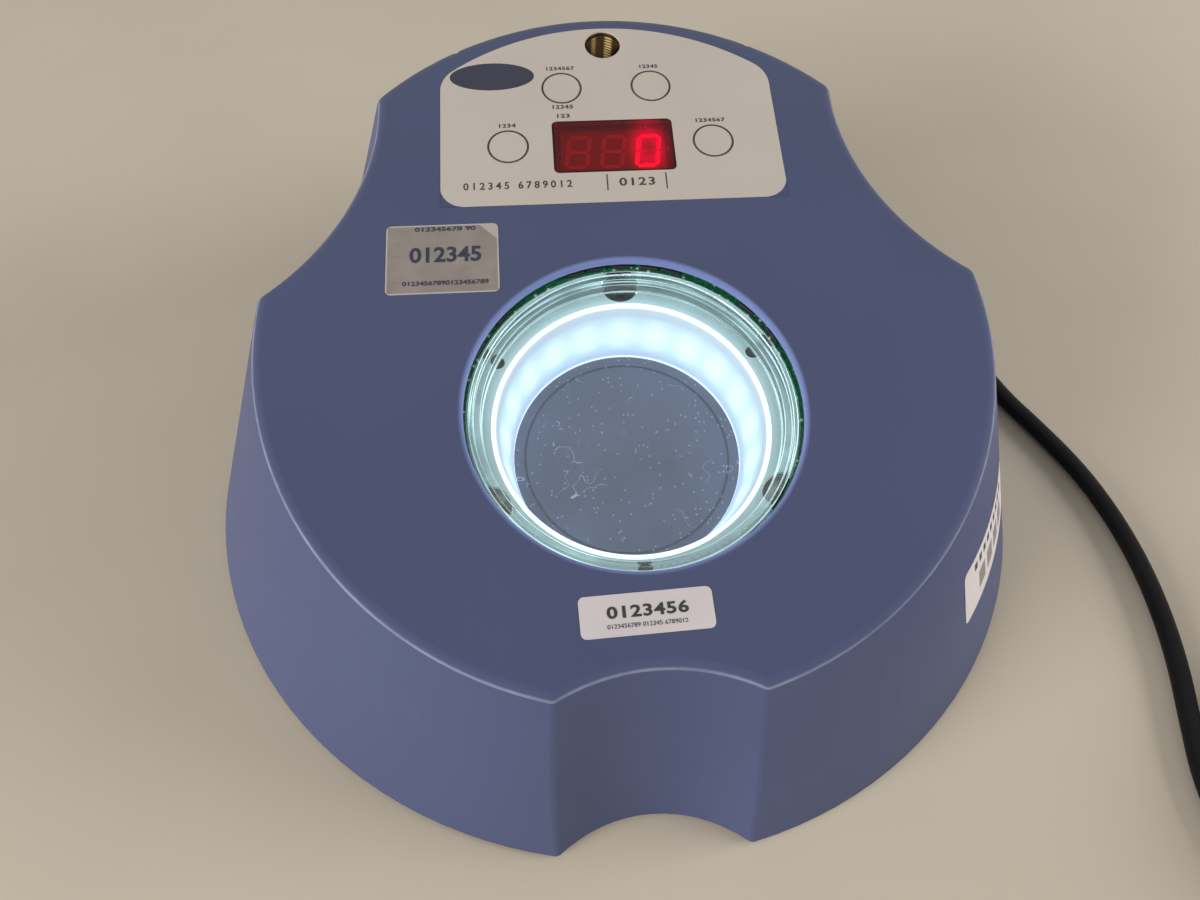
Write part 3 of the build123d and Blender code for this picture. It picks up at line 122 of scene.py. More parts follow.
COIL_POINTS_PER_TURN = 18
CORD_TAIL = [(298.0, -158.0, 17.6), (300.0, -138.0, 19.1)]


# ---- sizes and colours a user may change
def colour_property(name, description, default):
    return bpy.props.FloatVectorProperty(
        name=name, description=description, subtype="COLOR", size=3, min=0, max=1, default=default
    )


def length_property(name, description, default, low, high):
    return bpy.props.FloatProperty(
        name=name, description=description, unit="LENGTH", default=default, min=low, max=high
    )


class CounterColours(bpy.types.PropertyGroup):
    housing: colour_property("Housing", "Colour of the moulded housing", (0.044, 0.054, 0.112))
    overlay: colour_property("Panel film", "Colour of the printed panel film", (0.40, 0.356, 0.312))
    ink: colour_property("Ink", "Colour of the panel's print", (0.022, 0.022, 0.026))
    digits: colour_property("Digits", "Colour of the lit digit", (1.0, 0.004, 0.42))
    table: colour_property("Table", "Colour of the table", (0.455, 0.402, 0.320))


class CounterSizes(bpy.types.PropertyGroup):
    cord_diameter: length_property(
        "Cord diameter", "Thickness of the mains cord", 7.0 * MM, 5 * MM, 9 * MM
    )
    key_ring_width: length_property(
        "Key ring width", "Width of the ring printed round each key", 0.6 * MM, 0.2 * MM, 1 * MM
    )
    label_thickness: length_property(
        "Label thickness", "Thickness of the stuck-on labels", 0.12 * MM, 0.05 * MM, 0.5 * MM
    )
    lamp_strength: bpy.props.FloatProperty(
        name="Lamp strength", description="Strength of the light in the well", default=1.0, min=0, max=20,
    )


def colours():
    return bpy.context.scene.counter_colours


def sizes():
    return bpy.context.scene.counter_sizes


# ---- materials
def new_finish(name, colour, roughness, **sockets):
    """A material and its shader, with every uniform number and colour on the shader's own sockets."""
    material = bpy.data.materials.new(name)
    material.use_nodes = True
    shader = material.node_tree.nodes["Principled BSDF"]
    shader.inputs["Base Color"].default_value = (*colour, 1)
    shader.inputs["Roughness"].default_value = roughness
    for socket, value in sockets.items():
        shader.inputs[socket.replace("_", " ")].default_value = value
    return material, shader


def add_node(material, kind, inputs=None, **settings):
    """A node of a tree, by its kind, with its inputs, each a number or another node's output."""
    node = material.node_tree.nodes.new("ShaderNode" + kind)
    for setting, value in settings.items():
        setattr(node, setting, value)
    for socket, value in (inputs or {}).items():
        if isinstance(value, bpy.types.NodeSocket):
            material.node_tree.links.new(value, node.inputs[socket])
        else:
            node.inputs[socket].default_value = value
    return node


def join(material, output, target):
    material.node_tree.links.new(output, target)


def object_place(material):
    return add_node(material, "TexCoord").outputs["Object"]


def deck_place(material):
    """Coordinates in the deck's own plane: x to the right, y up the slope, z out of it."""
    return add_node(
        material, "Mapping",
        {"Vector": object_place(material), "Location": DECK_ORIGIN, "Rotation": (DECK_TILT, 0, 0)},
        vector_type="TEXTURE",
    ).outputs["Vector"]


def noise(material, place, scale, detail=2.0):
    return add_node(
        material, "TexNoise", {"Vector": place, "Scale": scale, "Detail": detail}
    ).outputs["Fac"]


def maths(material, operation, first, second=0.0, clamp=False):
    return add_node(
        material, "Math", {0: first, 1: second}, operation=operation, use_clamp=clamp
    ).outputs[0]


def times(material, first, second):
    return maths(material, "MULTIPLY", first, second)


def minus(material, first, second):
    return maths(material, "SUBTRACT", first, second)


def vector_of(material, first, second):
    """Flat vector of two outputs."""
    return add_node(material, "CombineXYZ", {"X": first, "Y": second}).outputs["Vector"]


def length_of(material, vector):
    return add_node(material, "VectorMath", {0: vector}, operation="LENGTH").outputs["Value"]


def ramp(material, value, stops):
    """Colour ramp with stops of place and colour."""
    node = add_node(material, "ValToRGB", {"Fac": value})
    elements = node.color_ramp.elements
    while len(elements) < len(stops):
        elements.new(0.5)
    for element, (place, colour) in zip(elements, stops):
        element.position = place
        element.color = (*colour, 1)
    return node.outputs["Color"]


def mix_colours(material, share, first, second):
    node = add_node(material, "Mix", data_type="RGBA")
    factor, low, high = node.inputs[0], node.inputs[6], node.inputs[7]
    for socket, value in ((factor, share), (low, first), (high, second)):
        if isinstance(value, bpy.types.NodeSocket):
            join(material, value, socket)
        elif isinstance(value, (int, float)):
            socket.default_value = value
        else:
            socket.default_value = (*value, 1)
    return node.outputs[2]


def roughen(material, shader, height, distance):
    """Bump from a height of 0 to 1 over a distance in metres."""
    node = add_node(
        material, "Bump", {"Height": height, "Distance": distance, "Strength": 1.0}
    )
    join(material, node.outputs["Normal"], shader.inputs["Normal"])


def tint(colour, share):
    return tuple(min(1.0, part * share) for part in colour)


def shades(material, value, colour, dark, light):
    """Shades of one colour, dark where a noise is low and light where it is high."""
    return ramp(material, value, [(0.3, tint(colour, dark)), (0.7, tint(colour, light))])


def set_colour(material, shader, output):
    join(material, output, shader.inputs["Base Color"])


def set_roughness(material, shader, output):
    join(material, output, shader.inputs["Roughness"])


def mottled(name, colour, roughness, patch=90.0, vary=0.12, grain=2500.0, relief=0.00003, **sockets):
    """A finish with soft patches of colour, uneven gloss and a fine grain."""
    material, shader = new_finish(name, colour, roughness, **sockets)
    place = object_place(material)
    patches = noise(material, place, patch, 3.0)
    set_colour(material, shader, shades(material, patches, colour, 1 - vary, 1 + vary))
    fine = noise(material, place, grain, 2.0)
    gloss = maths(material, "MULTIPLY_ADD", fine, 0.16)
    gloss.node.inputs[2].default_value = max(0.02, roughness - 0.08)
    set_roughness(material, shader, gloss)
    roughen(material, shader, fine, relief)
    return material


def deck_parts(material):
    """Deck coordinates taken apart, with the distance from the well's axis."""
    place = deck_place(material)
    parts = add_node(material, "SeparateXYZ", {"Vector": place}).outputs
    flat = add_node(
        material, "VectorMath", {0: place, 1: (1.0, 1.0, 0.0)}, operation="MULTIPLY"
    ).outputs["Vector"]
    radius = length_of(material, flat)
    return place, parts["X"], parts["Y"], parts["Z"], radius


def spread(material, value, low, high, to_low=0.0, to_high=1.0):
    """Maps a value from one range to another, held at the ends."""
    return add_node(
        material, "MapRange",
        {"Value": value, "From Min": low, "From Max": high, "To Min": to_low, "To Max": to_high},
    ).outputs["Result"]


def band(material, value, low, high, soft):
    """1 between two values, with soft shoulders."""
    rise = spread(material, value, low - soft, low)
    fall = spread(material, value, high, high + soft, 1.0, 0.0)
    return times(material, rise, fall)


def past_frame(material, across, along, centre, size, border):
    """Distance past a border inside a rectangle's outline; the sizes are in millimetres."""
    reaches = []
    for value, middle, length in ((across, centre[0], size[0]), (along, centre[1], size[1])):
        offset = maths(material, "ABSOLUTE", minus(material, value, middle * MM))
        reaches.append(minus(material, offset, (length / 2 - border) * MM))
    return maths(material, "MAXIMUM", *reaches)


# edges of the dish carrier with a painted glint: radius, height and the glint's width, in millimetres
CARRIER_EDGES = (
    (53.05, -5.3, 0.30), (51.6, -5.3, 0.26), (51.6, -7.9, 0.24), (49.3, -7.9, 0.28), (49.3, -12.5, 0.30),
    (53.1, -14.4, 0.30),
)


def carrier_finish():
    """Clear moulding with glints painted on its edges, streaks of painted light in its bore and faint
    scuffs.
    """
    material, shader = new_finish(
        "acrylic_clear", (0.95, 1.0, 0.985), 0.012, Transmission_Weight=1.0, IOR=1.49
    )
    place, across, along, height, radius = deck_parts(material)
    section = vector_of(material, radius, height)
    glints = None
    for edge_radius, edge_height, width in CARRIER_EDGES:
        distance = add_node(
            material, "VectorMath", {0: section, 1: (edge_radius * MM, edge_height * MM, 0)},
            operation="DISTANCE",
        ).outputs["Value"]
        line = spread(material, distance, 0.45 * width * MM, width * MM, 1.0, 0.0)
        glints = line if glints is None else maths(material, "MAXIMUM", glints, line)
    around = maths(material, "ARCTAN2", along, across)
    sweep = add_node(
        material, "CombineXYZ",
        {"X": times(material, around, 2.2), "Y": times(material, height, 1500.0)},
    ).outputs["Vector"]
    # streaks of painted light in the bore, added to the edge glints and glowing with them
    marks = noise(material, sweep, 1.0, 3.0)
    streaks = spread(material, marks, 0.50, 0.72)
    ring = band(material, radius, 49.0 * MM, 51.9 * MM, 0.1 * MM)
    bore = times(material, ring, band(material, height, -12.3 * MM, -5.5 * MM, 0.1 * MM))
    uneven = spread(material, noise(material, place, 28.0, 2.0), 0.35, 0.65, 0.25, 1.0)
    light = maths(
        material, "ADD", times(material, glints, uneven),
        times(material, times(material, streaks, bore), 0.30), clamp=True,
    )
    colour = ramp(material, light, [(0.0, (0, 0, 0)), (0.5, (0.26, 0.42, 0.44)), (1.0, (0.72, 0.95, 0.90))])
    glow(material, shader, colour)
    scuffs = noise(material, place, 900.0, 4.0)
    set_roughness(material, shader, spread(material, scuffs, 0.45, 0.8, 0.012, 0.09))
    return material


def circuit_finish(name, mask):
    """Solder mask with traces, pads and vias."""
    material, shader = new_finish(name, mask, 0.32, Coat_Weight=0.4, Coat_Roughness=0.15)
    place = deck_place(material)
    cells = add_node(
        material, "TexVoronoi", {"Vector": place, "Scale": 330.0},
        voronoi_dimensions="2D", distance="CHEBYCHEV", feature="DISTANCE_TO_EDGE",
    ).outputs["Distance"]
    traces = ramp(material, cells, [(0.03, (1, 1, 1)), (0.07, (0, 0, 0))])
    pads = add_node(
        material, "TexVoronoi", {"Vector": place, "Scale": 240.0}, voronoi_dimensions="2D"
    ).outputs["Distance"]
    vias = ramp(material, pads, [(0.10, (1, 1, 1)), (0.14, (0, 0, 0))])
    copper = mix_colours(material, traces, mask, tint(mask, 2.2))
    set_colour(material, shader, mix_colours(material, vias, copper, (0.55, 0.53, 0.45)))
    roughen(material, shader, traces, 0.00003)
    return material


def housing_finish():
    """Slate-blue moulding with a fine grain, a painted highlight and a smoother gloss along the deck's edge,
    and a glow painted on the well's lip.
    """
    colour = tuple(colours().housing)
    material, shader = new_finish("housing_slate", colour, 0.46, Specular_IOR_Level=0.42)
    place, _, _, height, radius = deck_parts(material)
    patches = noise(material, place, 14.0, 4.0)
    base = shades(material, patches, colour, 0.95, 1.05)
    specks = noise(material, place, 1500.0, 1.0)
    dust = ramp(material, specks, [(0.72, (0, 0, 0)), (0.80, (0.35, 0.35, 0.35))])
    dusty = mix_colours(material, dust, base, tint(colour, 1.8))
    # painted highlight: the deck's edge fillet is drawn lighter, unevenly along it, and the same band is
    # made glossier
    edge = times(
        material,
        band(material, height, -1.5 * MM, -1.2 * MM, 0.4 * MM), spread(material, radius, 60 * MM, 62 * MM),
    )
    highlight_amount = spread(material, noise(material, place, 60.0, 3.0), 0.3, 0.7, 0.30, 0.65)
    painted_edge_highlight = times(material, edge, highlight_amount)
    set_colour(material, shader, mix_colours(material, painted_edge_highlight, dusty, (0.23, 0.245, 0.33)))
    grain = noise(material, place, 2600.0, 3.0)
    rough = spread(material, grain, 0.2, 0.8, 0.40, 0.52)
    polish_and_highlight = times(material, edge, 0.14)
    set_roughness(material, shader, minus(material, rough, polish_and_highlight))
    roughen(material, shader, grain, 0.00005)
    reach = spread(material, radius, 54.6 * MM, 55.9 * MM, 1.0, 0.0)
    lip = times(material, reach, spread(material, height, -6.0 * MM, -2.6 * MM, 0.35, 1.0))
    glow(material, shader, ramp(material, lip, [(0.0, (0, 0, 0)), (1.0, (0.105, 0.140, 0.300))]))
    return material


def glow(material, shader, colour, strength=1.0):
    join(material, colour, shader.inputs["Emission Color"])
    shader.inputs["Emission Strength"].default_value = strength


def diffuser_finish():
    """White diffuser lit from behind: bright rims, a pale band and a row of soft blobs."""
    material, shader = new_finish("diffuser_lit", (0.42, 0.48, 0.52), 0.35, Specular_IOR_Level=0.3)
    place, across, along, height, radius = deck_parts(material)
    around = maths(material, "ARCTAN2", along, across)
    waves = maths(material, "SINE", times(material, around, float(BEAD_COUNT)))
    beads = times(
        material, spread(material, waves, -1.0, 0.9),
        spread(material, noise(material, place, 24.0, 1.0), 0.3, 0.7, 0.75, 1.0),
    )
    level = spread(material, height, *(end * MM for end in DIFFUSER_LEVELS))
    haze = ramp(
        material, level,
        [(0.0, (0.95, 1, 1)), (0.012, (0.95, 1, 1)), (0.035, (0.34, 0.42, 0.49)), (0.14, (0.32, 0.39, 0.52)),
         (0.30, (0.44, 0.58, 0.74)), (0.54, (0.58, 0.84, 0.92)), (0.78, (0.42, 0.56, 0.80)),
         (0.95, (0.28, 0.38, 0.62)), (0.975, (0.80, 0.95, 0.98))],
    )
    swell = ramp(
        material, level,
        [(0.16, (0, 0, 0)), (0.34, (0.55,) * 3), (0.52, (1, 1, 1)), (0.66, (0.8,) * 3), (0.86, (0, 0, 0))],
    )
    spots = times(material, beads, swell)
    inner = mix_colours(material, spots, haze, (0.72, 1.0, 0.97))
    surface = spread(material, level, 0.0, 1.0, *(end * MM for end in DIFFUSER_RADII))
    wall = minus(material, radius, surface)
    outside = spread(material, wall, 0.35 * MM, 0.55 * MM)
    join(material, mix_colours(material, outside, inner, (0.86, 0.98, 1.0)), shader.inputs["Emission Color"])
    shader.inputs["Emission Strength"].default_value = sizes().lamp_strength
    return material


def support_finish():
    """Teal ring, with a painted glow towards the diffuser."""
    colour = (0.21, 0.345, 0.365)
    material, shader = new_finish("ring_teal", colour, 0.45, Specular_IOR_Level=0.3)
    place, _, along, _, radius = deck_parts(material)
    patches = noise(material, place, 60.0, 3.0)
    base = shades(material, patches, colour, 0.92, 1.08)
    set_colour(material, shader, base)
    near = maths(material, "POWER", spread(material, radius, 46.0 * MM, 60.0 * MM, 1.0, 0.0), 2.2)
    light = times(material, near, spread(material, along, -10.0 * MM, 45.0 * MM, 0.6, 1.0))
    glow(material, shader, ramp(material, light, [(0.0, (0.0, 0.0, 0.0)), (1.0, (0.42, 0.55, 0.63))]))
    roughen(material, shader, noise(material, place, 2500.0, 2.0), 0.00004)
    return material


def disc_finish():
    """Dark disc at the bottom of the well, with painted shade in its groove and dust and fibres on it."""
    colour = (0.104, 0.128, 0.218)
    material, shader = new_finish("well_disc", colour, 0.45, Specular_IOR_Level=0.35)
    place, _, _, _, radius = deck_parts(material)
    cloud = noise(material, place, 45.0, 5.0)
    base = shades(material, cloud, colour, 0.88, 1.14)
    # painted shade: the groove is drawn darker
    groove_shade = band(material, radius, DISC_GROOVE[0] * MM, DISC_GROOVE[1] * MM, 0.1 * MM)
    base = mix_colours(material, times(material, groove_shade, 0.6), base, tint(colour, 0.5))
    for scale, share, size in ((260.0, 0.80, 0.085), (620.0, 0.93, 0.20)):
        grit = add_node(
            material, "TexVoronoi", {"Vector": place, "Scale": scale}, voronoi_dimensions="2D"
        )
        lot = add_node(material, "SeparateColor", {"Color": grit.outputs["Color"]}).outputs[0]
        speck = times(
            material, maths(material, "GREATER_THAN", lot, share),
            maths(material, "LESS_THAN", grit.outputs["Distance"], size),
        )
        base = mix_colours(material, times(material, speck, 0.38), base, (0.62, 0.70, 0.78))
    line = maths(material, "ABSOLUTE", minus(material, noise(material, place, 130.0, 1.0), 0.5))
    thin = maths(material, "LESS_THAN", line, 0.0045)
    tufts = maths(material, "GREATER_THAN", noise(material, place, 75.0, 0.0), 0.67)
    fibres = times(material, thin, tufts)
    set_colour(material, shader, mix_colours(material, fibres, base, (0.42, 0.48, 0.56)))
    roughen(material, shader, noise(material, place, 700.0, 3.0), 0.00003)
    return material


def digit_haze(material, reach):
    """Falls from 1 at the lit digit's strokes to 0 at a distance of the reach, in millimetres."""
    place = deck_place(material)
    strokes = add_node(
        material, "VectorMath",
        {0: place, 1: (LIT_DIGIT[0] * MM, LIT_DIGIT[1] * MM, 0)}, operation="SUBTRACT",
    ).outputs["Vector"]
    offset = add_node(
        material, "VectorMath", {0: strokes, 1: (1.0, 0.62, 0.0)}, operation="MULTIPLY"
    ).outputs["Vector"]
    distance = length_of(material, offset)
    away = maths(material, "ABSOLUTE", minus(material, distance, 3.6 * MM))
    near = spread(material, away, 0.0, reach * MM, 1.0, 0.0)
    return maths(material, "POWER", near, 2.2)


def overlay_finish():
    """Pale film with a fine texture, its front corners printed round in the housing's colour."""
    colour, slate = tuple(colours().overlay), tuple(colours().housing)
    material, shader = new_finish("panel_film", colour, 0.50, Specular_IOR_Level=0.3)
    place, across, along, _, _ = deck_parts(material)
    inner = (FILM_HALF_WIDTH - FILM_CORNER) * MM
    side = minus(material, maths(material, "ABSOLUTE", across), inner)
    beside = maths(material, "MAXIMUM", side, 0.0)
    front = minus(material, (FILM_FRONT + FILM_CORNER) * MM, along)
    before = maths(material, "MAXIMUM", front, 0.0)
    corner = vector_of(material, beside, before)
    reach = length_of(material, corner)
    outside = spread(material, reach, (FILM_CORNER - 0.05) * MM, (FILM_CORNER + 0.05) * MM)
    patches = noise(material, place, 25.0, 3.0)
    base = shades(material, patches, colour, 0.975, 1.025)
    set_colour(material, shader, mix_colours(material, outside, base, slate))
    grain = noise(material, place, 3800.0, 2.0)
    set_roughness(material, shader, spread(material, grain, 0.2, 0.8, 0.44, 0.56))
    roughen(material, shader, grain, 0.00002)
    return material


def window_finish():
    """Red filter over the digits, with a faint glow painted all over it and a haze painted round the lit
    one.
    """
    red = (0.72, 0.026, 0.034)
    material, shader = new_finish(
        "window_red", red, 0.05, Transmission_Weight=0.97, IOR=1.2, Specular_IOR_Level=0.2
    )
    _, across, along, _, _ = deck_parts(material)
    haze = digit_haze(material, 7.0)
    # painted glow: faint over the whole window, strongest round the lit digit
    lit = ramp(material, haze, [(0.0, (0.018, 0.0055, 0.0058)), (1.0, (0.27, 0.0, 0.020))])
    glow(material, shader, lit)
    past = past_frame(material, across, along, WINDOW_CENTRE, WINDOW_SIZE, WINDOW_BORDER)
    border = spread(material, past, 0.0, 0.3 * MM)
    set_colour(material, shader, mix_colours(material, border, red, (0.012, 0.002, 0.002)))
    smears = noise(material, object_place(material), 160.0, 4.0)
    set_roughness(material, shader, spread(material, smears, 0.4, 0.8, 0.04, 0.13))
    return material


def display_finish():
    """Face of the display, with a faint painted glow all over it and a stronger one round the lit digit."""
    colour = (0.085, 0.075, 0.075)
    material, shader = new_finish("display_face", colour, 0.6, Specular_IOR_Level=0.2)
    patches = noise(material, object_place(material), 300.0, 3.0)
    base = shades(material, patches, colour, 0.9, 1.1)
    set_colour(material, shader, base)
    haze = digit_haze(material, 7.0)
    lit = ramp(material, haze, [(0.0, (0.022, 0.002, 0.003)), (1.0, (0.22, 0.0, 0.03))])
    glow(material, shader, lit)
    roughen(material, shader, patches, 0.00002)
    return material


def digit_finish(name, colour, strength):
    material, shader = new_finish(name, colour, 0.4)
    place = object_place(material)
    shade = ramp(
        material, noise(material, place, 700.0, 2.0), [(0.2, tint(colour, 0.82)), (0.8, tint(colour, 1.0))]
    )
    set_colour(material, shader, shade)
    glow(material, shader, shade, strength)
    return material


def brass_finish():
    """Turned brass with two bright streaks painted on the thread's crests, dark elsewhere in the bore."""
    material, shader = new_finish("brass_turned", (0.72, 0.50, 0.20), 0.30, Metallic=1.0)
    place, across, along, _, _ = deck_parts(material)
    offset = minus(material, along, BUSH_Y * MM)
    section = vector_of(material, across, offset)
    from_axis = length_of(material, section)
    # painted highlights: two bright streaks across the bore, strongest on the thread's crests
    crest = spread(material, from_axis, 5.85 * MM, 6.3 * MM, 1.0, 0.15)
    narrow = times(material, band(material, across, -3.3 * MM, -2.5 * MM, 0.8 * MM), 0.6)
    wide = band(material, across, 1.8 * MM, 3.5 * MM, 0.9 * MM)
    highlight_amount = times(material, maths(material, "MAXIMUM", narrow, wide), crest)
    tarnish = noise(material, place, 220.0, 4.0)
    polish_and_highlight = times(material, highlight_amount, spread(material, tarnish, 0.3, 0.7, 0.75, 1.0))
    stops = [(0.0, (0.060, 0.042, 0.020)), (0.4, (0.30, 0.20, 0.07)), (1.0, (0.92, 0.72, 0.34))]
    set_colour(material, shader, ramp(material, polish_and_highlight, stops))
    set_roughness(material, shader, spread(material, tarnish, 0.3, 0.7, 0.36, 0.22))
    roughen(material, shader, tarnish, 0.00002)
    return material


def cord_finish():
    """Black sheath with soft patches of colour and uneven gloss."""
    return mottled(
        "cord_black", (0.0036, 0.0032, 0.0038), 0.50, patch=60.0, vary=0.25, grain=1800.0,
        Specular_IOR_Level=0.18,
    )


def laminated_finish():
    """Core of stacked steel sheets."""
    colour = (0.22, 0.22, 0.23)
    material, shader = new_finish("core_laminated", colour, 0.45, Metallic=0.9)
    place = object_place(material)
    parts = add_node(material, "SeparateXYZ", {"Vector": place})
    sheets = maths(material, "SINE", times(material, parts.outputs["Z"], 2 * pi / (0.5 * MM)))
    shade = ramp(material, sheets, [(0.0, tint(colour, 0.5)), (1.0, tint(colour, 1.2))])
    set_colour(material, shader, shade)
    roughen(material, shader, sheets, 0.0001)
    return material


def taped_finish():
    """Winding wrapped in amber tape."""
    colour = (0.62, 0.38, 0.07)
    material, shader = new_finish("winding_taped", colour, 0.3, Coat_Weight=0.3)
    place = object_place(material)
    bands = add_node(
        material, "TexWave", {"Vector": place, "Scale": 60.0, "Distortion": 1.5},
        bands_direction="Z",
    ).outputs["Fac"]
    shade = ramp(material, bands, [(0.1, tint(colour, 0.7)), (0.6, colour)])
    set_colour(material, shader, shade)
    roughen(material, shader, bands, 0.0001)
    return material


def ribbon_finish():
    """Flat grey cable with its cores side by side, painted shade between them, and one red edge."""
    material, shader = new_finish("ribbon_grey", (0.36, 0.36, 0.37), 0.45)
    parts = add_node(material, "SeparateXYZ", {"Vector": object_place(material)})
    waves = maths(material, "SINE", times(material, parts.outputs["X"], pi / (1.27 * MM)))
    cores = maths(material, "ABSOLUTE", waves)
    edge = maths(material, "LESS_THAN", parts.outputs["X"], -5.8 * MM)
    # darker between the cores: painted shade in the grooves
    shade = ramp(material, cores, [(0.0, (0.18, 0.18, 0.19)), (0.5, (0.38, 0.38, 0.39))])
    set_colour(material, shader, mix_colours(material, edge, shade, (0.45, 0.03, 0.03)))
    roughen(material, shader, cores, 0.0003)
    return material


def foil_finish():
    """Silver foil of a label, with a crinkle, a faint weave, rows of pale dashes in its surface, a painted
    glint round its rim and a painted highlight beyond a fold at one corner.
    """
    colour = (0.216, 0.187, 0.170)
    material, shader = new_finish("label_foil", colour, 0.42, Metallic=0.25, Specular_IOR_Level=0.3)
    place, across, along, _, _ = deck_parts(material)
    weave = add_node(material, "TexChecker", {"Vector": place, "Scale": 1500.0}).outputs["Fac"]
    crinkle = noise(material, place, 120.0, 5.0)
    base = shades(material, crinkle, colour, 0.90, 1.12)
    woven = mix_colours(material, times(material, weave, 0.10), base, tint(colour, 1.6))
    rows = maths(material, "SINE", times(material, along, 2 * pi / (5.2 * MM)))
    dashes = maths(material, "SINE", times(material, across, 2 * pi / (1.6 * MM)))
    pressed = times(
        material, spread(material, rows, 0.80, 0.95), spread(material, dashes, -0.2, 0.5),
    )
    patchy = spread(material, noise(material, place, 110.0, 1.0), 0.45, 0.6, 0.0, 0.30)
    faint = times(material, pressed, patchy)
    printed = mix_colours(material, faint, woven, (0.17, 0.12, 0.09))
    # painted glint along the label's rim, and a painted highlight on the corner beyond a diagonal fold
    rim_glint = spread(material, past_frame(material, across, along, FOIL_CENTRE, FOIL_SIZE, 0.6), 0.0, 0.2 * MM)
    diagonal = maths(material, "ADD", across, along)
    fold_start = sum(FOIL_CENTRE) + sum(FOIL_SIZE) / 2 - 7.0
    fold_highlight = spread(material, diagonal, fold_start * MM, (fold_start + 0.4) * MM, 0.0, 0.6)
    shine = maths(material, "MAXIMUM", times(material, rim_glint, 0.7), fold_highlight)
    set_colour(material, shader, mix_colours(material, shine, printed, (0.44, 0.41, 0.39)))
    roughen(material, shader, crinkle, 0.00015)
    return material


def paper_finish(name, colour):
    return mottled(name, colour, 0.42, patch=40.0, vary=0.04, grain=3000.0, relief=0.00001)


MAKERS = {
    "base": lambda: mottled("base_black", (0.030, 0.030, 0.034), 0.55, relief=0.00006),
    "feet": lambda: mottled("foot_rubber", (0.020, 0.020, 0.020), 0.75, grain=1500.0, relief=0.00008),
    "overlay": overlay_finish,
    "window_red": window_finish,
    "display_black": display_finish,
    "segments_lit": lambda: digit_finish("segments_lit", tuple(colours().digits), 1.2),
    # the dark segments get a faint painted glow
    "segments_dark": lambda: digit_finish("segments_dark", (0.30, 0.27, 0.26), 0.05),
    "brass": brass_finish,
    "clear_acrylic": carrier_finish,
    "black_plastic": lambda: mottled("plastic_black", (0.014, 0.014, 0.015), 0.38, patch=200.0),
    "white_plastic": lambda: mottled("plastic_white", (0.62, 0.62, 0.60), 0.45, vary=0.04),
    "support_ring": support_finish,
    "diffuser": diffuser_finish,
    "background_disc": disc_finish,
    "circuit_board": lambda: circuit_finish("board_green", (0.010, 0.095, 0.040)),
    "emitters": lambda: digit_finish("emitters_lit", (0.86, 0.97, 1.0), 6.0),
    "ribbon": ribbon_finish,
    "rear_panel": lambda: mottled("panel_coated", (0.045, 0.052, 0.085), 0.5, grain=1600.0, relief=0.00008),
    "rocker": lambda: mottled("rocker_gloss", (0.012, 0.012, 0.012), 0.22, relief=0.00001),
    "plated_metal": lambda: mottled("nickel_plated", (0.58, 0.57, 0.55), 0.24, Metallic=1.0, relief=0.00001),
    "winding": taped_finish,
    "core_steel": laminated_finish,
    "capacitor_sleeve": lambda: mottled("sleeve_blue", (0.014, 0.022, 0.085), 0.3, Coat_Weight=0.4),
    "aluminium": lambda: mottled("fins_aluminium", (0.52, 0.53, 0.54), 0.35, Metallic=1.0),
    "terminal_green": lambda: mottled("terminal_green", (0.030, 0.20, 0.075), 0.35),
    "lead_insulation": lambda: mottled("lead_brown", (0.17, 0.075, 0.030), 0.35),
    "cord_black": cord_finish,
    "screw_steel": lambda: mottled("screw_black", (0.045, 0.045, 0.05), 0.35, Metallic=0.8),
    "housing": housing_finish,
    "label_foil": foil_finish,
    "label_paper": lambda: paper_finish("label_paper", (0.465, 0.422, 0.420)),
    "label_grey": lambda: paper_finish("label_grey", (0.17, 0.155, 0.145)),
    "ink": lambda: mottled("ink_dark", tuple(colours().ink), 0.45, vary=0.2, relief=0.00001),
    "ink_blue": lambda: mottled("ink_blue", (0.016, 0.018, 0.038), 0.35, vary=0.15, relief=0.00001),
}
MAKERS["key_caps"] = MAKERS["overlay"]
made_finishes = {}


def finish(slot):
    """The material of a slot, made once."""
    if slot not in made_finishes:
        made_finishes[slot] = MAKERS[slot]()
    return made_finishes[slot]


def dress(*nodes):
    """Gives each CAD node the finish of its slot in the record."""
    slots = {part["node"]: part["material_slot"] for part in frame["record"]["subparts"]}
    for name in nodes:
        mesh = frame["nodes"][name].data
        mesh.materials.clear()
        mesh.materials.append(finish(slots[name]))


# ---- pieces
def new_object(name, data):
    """An object linked to the scene."""
    made = bpy.data.objects.new(name, data)
    bpy.context.scene.collection.objects.link(made)
    return made


def mesh_of(name, bm):
    """Turns a bmesh into a mesh and frees it."""
    mesh = bpy.data.meshes.new(name)
    bm.to_mesh(mesh)
    bm.free()
    return mesh


def add_piece(name, bm, slot, body="housing"):
    """A new piece from a bmesh that is already in place."""
    bmesh.ops.remove_doubles(bm, verts=bm.verts, dist=1e-7)
    bmesh.ops.recalc_face_normals(bm, faces=bm.faces)
    for face in bm.faces:
        face.smooth = False
    piece = new_object(name, mesh_of(name, bm))
    piece.data.materials.append(finish(slot))
    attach(piece, body)
    return piece


def raised(bm, faces, height):
    """Extrudes flat faces upwards into a plate of that height."""
    grown = bmesh.ops.extrude_face_region(bm, geom=faces)["geom"]
    corners = [item for item in grown if isinstance(item, bmesh.types.BMVert)]
    bmesh.ops.translate(bm, verts=corners, vec=(0, 0, height))


